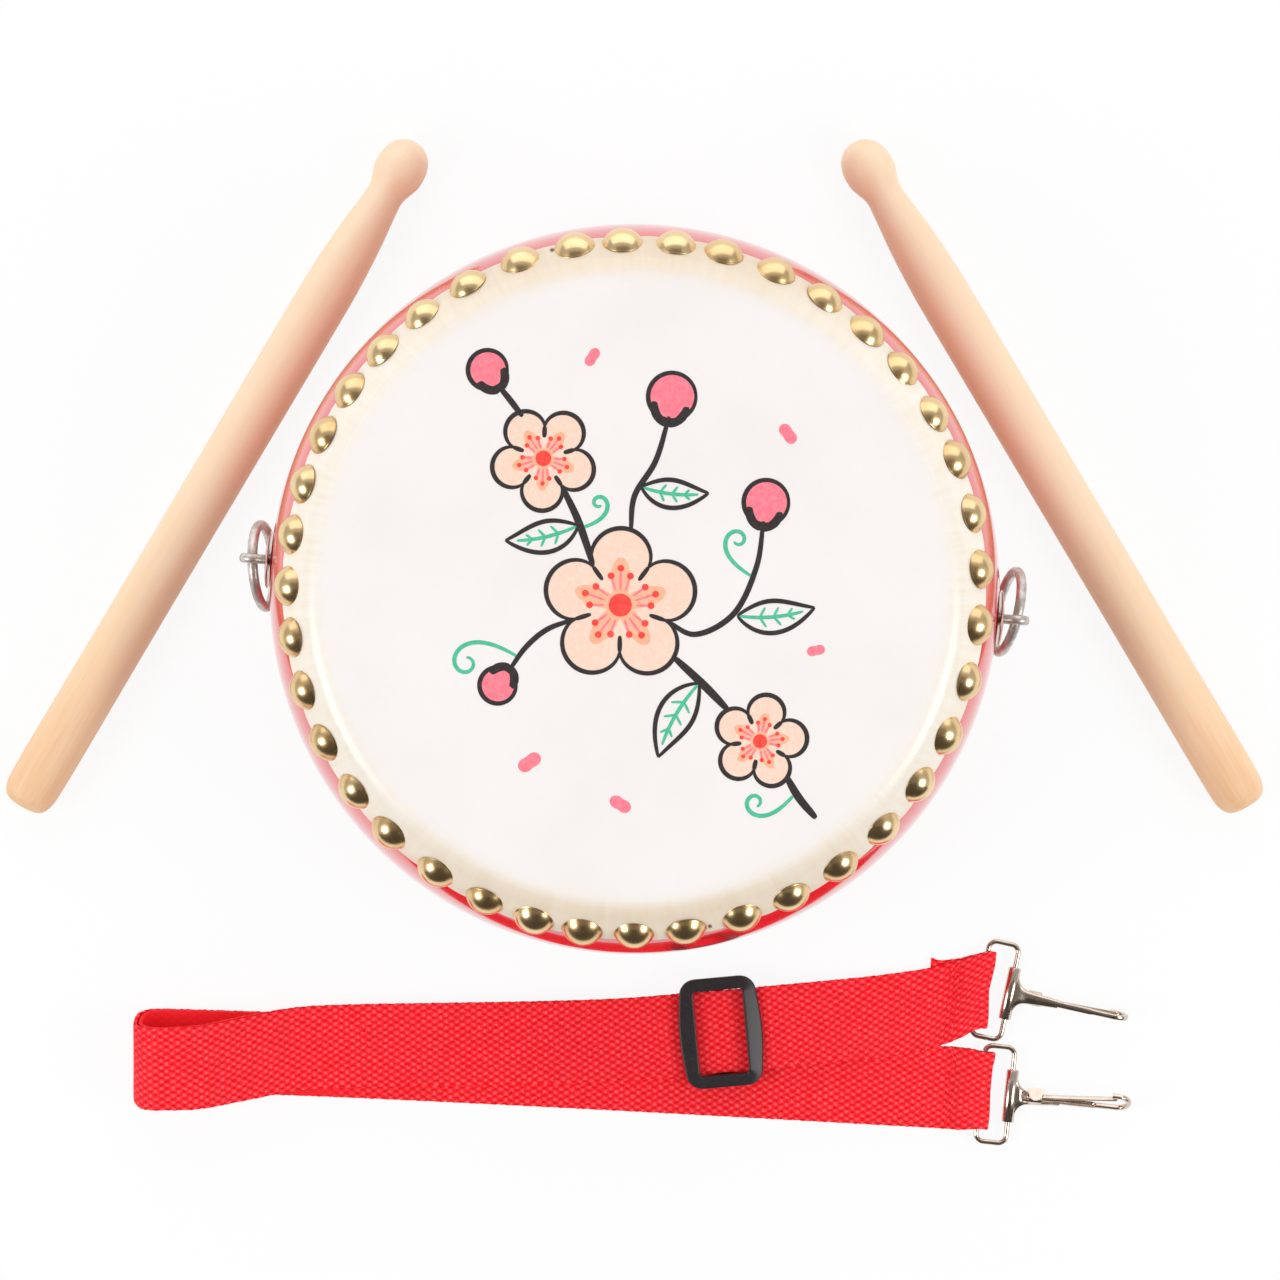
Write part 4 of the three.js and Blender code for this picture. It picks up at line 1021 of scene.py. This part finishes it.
def makeHook(side):
    yaw = Matrix.Rotation(hookYaw(side), 4, "Z")
    over = Matrix.Rotation(np.pi if side == "upper" else 0, 4, "X")
    tilt = Matrix.Rotation(-math.radians(hook[side]["tilt"]), 4, "Y")
    lean = math.radians(hook[side]["lean"])
    atLoop = Matrix.Translation(hingeAt(side + "_loop_swing").tolist()) @ yaw
    atHook = Matrix.Translation(hingeAt(side + "_hook_swing").tolist()) @ yaw @ tilt @ over
    upright = atHook @ Matrix.Rotation(np.pi / 2, 4, "X")
    leaned = atHook @ Matrix.Rotation(lean, 4, "X")
    for name, body, node, parts in (
            ("_wire_loop", "_loop", "_hook_loop", [(wireLoop(), atLoop)]),
            ("_hook", "_hook", "_hook_body", [
                (hookSleeve(), upright), (hookNeck(lean), atHook), (hookArm(), leaned)]),
            ("_collar", "_hook", "_hook_collar", [(part, leaned) for part in hookCollar()]),
            ("_gate", "_gate", "_hook_gate", [(hookGate(), leaned)])):
        moved = [(turned(grid, place), faces) for (grid, faces), place in parts]
        makePiece(side + name, moved, nickel, side + body, [side + node])


makeHook("upper")
makeHook("lower")
print("hooks made")


# stage: pale floor, soft boxes left and right, camera straight above

stage = {
    "cameraHeight": 1.3, "groundPoint": (0.00164, -0.015), "frameWidth": 0.3904, "sensor": 36,
    "worldLight": 0.5, "paperWhite": 0.9, "paperHalf": 3.0,
    "lamps": [  # name, place, width and height in metres, power in watts
        ("left_box", (-0.8, -0.28, 0.7), (0.45, 0.45), 4.0),
        ("right_box", (0.8, -0.28, 0.7), (0.45, 0.45), 4.0),
        ("back_wall", (0, 0.95, 0.5), (2.4, 1.0), 7.6)],
    "lampsAim": (0, 0, 0.04),
    "roomHalf": 1.0, "roomFront": -0.5, "roomBack": 0.45, "roomHeight": 1.5,
}


def makeBackdrop(name, points, faces, materials, inMirrorsOnly):  # a material for each face
    mesh = bpy.data.meshes.new(name)
    mesh.from_pydata(points, [], faces)
    for material in materials:
        mesh.materials.append(material)
    mesh.polygons.foreach_set("material_index", list(range(len(faces))))
    piece = bpy.data.objects.new(name, mesh)
    if inMirrorsOnly:
        piece.visible_camera = piece.visible_diffuse = piece.visible_shadow = False
    bpy.context.collection.objects.link(piece)


def whitePaper():  # seamless paper: burnt out to white for the eye and in mirrors, plain paper to the light
    add, finish = newMaterial("white_paper_sweep")
    material = finish({"Base Color": linear("#F6F6F6"), "Roughness": 0.9})
    nodes = material.node_tree.nodes
    rays = [add("LightPath", out=f"Is {kind} Ray") for kind in ("Camera", "Glossy", "Transmission")]
    shown = add("Math", {0: rays[0], 1: rays[1]}, operation="MAXIMUM")
    shown = add("Math", {0: shown, 1: rays[2]}, operation="MAXIMUM")
    part = add("Math", {0: shown, 1: stage["paperWhite"]}, operation="MULTIPLY")
    white = add("Emission", {"Strength": 1.0})
    mix = add("MixShader", {0: part, 1: nodes["Principled BSDF"].outputs[0], 2: white})
    fill(material.node_tree, nodes["Material Output"], {"Surface": mix})
    return material


def makeStage():
    w = stage["paperHalf"]
    floor = [(-w, -w, 0), (w, -w, 0), (w, w, 0), (-w, w, 0)]
    makeBackdrop("floor", floor, [(0, 1, 2, 3)], [whitePaper()], False)
    w, front, back, top = (stage[key] for key in ("roomHalf", "roomFront", "roomBack", "roomHeight"))
    room = [(-w, front, 0), (w, front, 0), (w, front, top), (-w, front, top), (w, back, top), (-w, back, top)]
    dull = [newMaterial(name)[1]({"Base Color": linear(shade), "Roughness": 1.0})
            for name, shade in (("dark_felt_for_reflections", "#423D38"), ("grey_ceiling_for_reflections", "#8A837B"))]
    makeBackdrop("dark_room_for_reflections", room, [(0, 1, 2, 3), (3, 2, 4, 5)], dull, True)  # in front and over the camera: a painted dark room, seen only in reflections
    world = bpy.data.worlds.new("studio")
    bpy.context.scene.world = world
    world.use_nodes = True
    fill(world.node_tree, world.node_tree.nodes["Background"], {
        "Color": (1, 1, 1, 1), "Strength": stage["worldLight"]})
    for name, place, size, power in stage["lamps"]:
        light = bpy.data.lights.new(name, "AREA")
        light.shape = "RECTANGLE"
        light.size, light.size_y = size
        light.energy = power
        lamp = bpy.data.objects.new(name, light)
        lamp.location = place
        aim = Matrix.Translation(stage["lampsAim"]).translation - lamp.location
        lamp.rotation_euler = aim.to_track_quat("-Z", "Y").to_euler()
        bpy.context.collection.objects.link(lamp)
    view = bpy.data.cameras.new("camera")
    view.sensor_width = stage["sensor"]
    view.lens = stage["sensor"] * stage["cameraHeight"] / stage["frameWidth"]
    camera = bpy.data.objects.new("camera", view)
    camera.location = (*stage["groundPoint"], stage["cameraHeight"])
    bpy.context.collection.objects.link(camera)
    bpy.context.scene.camera = camera
    bpy.context.scene.view_settings.view_transform = "Standard"


makeStage()
print("stage made")
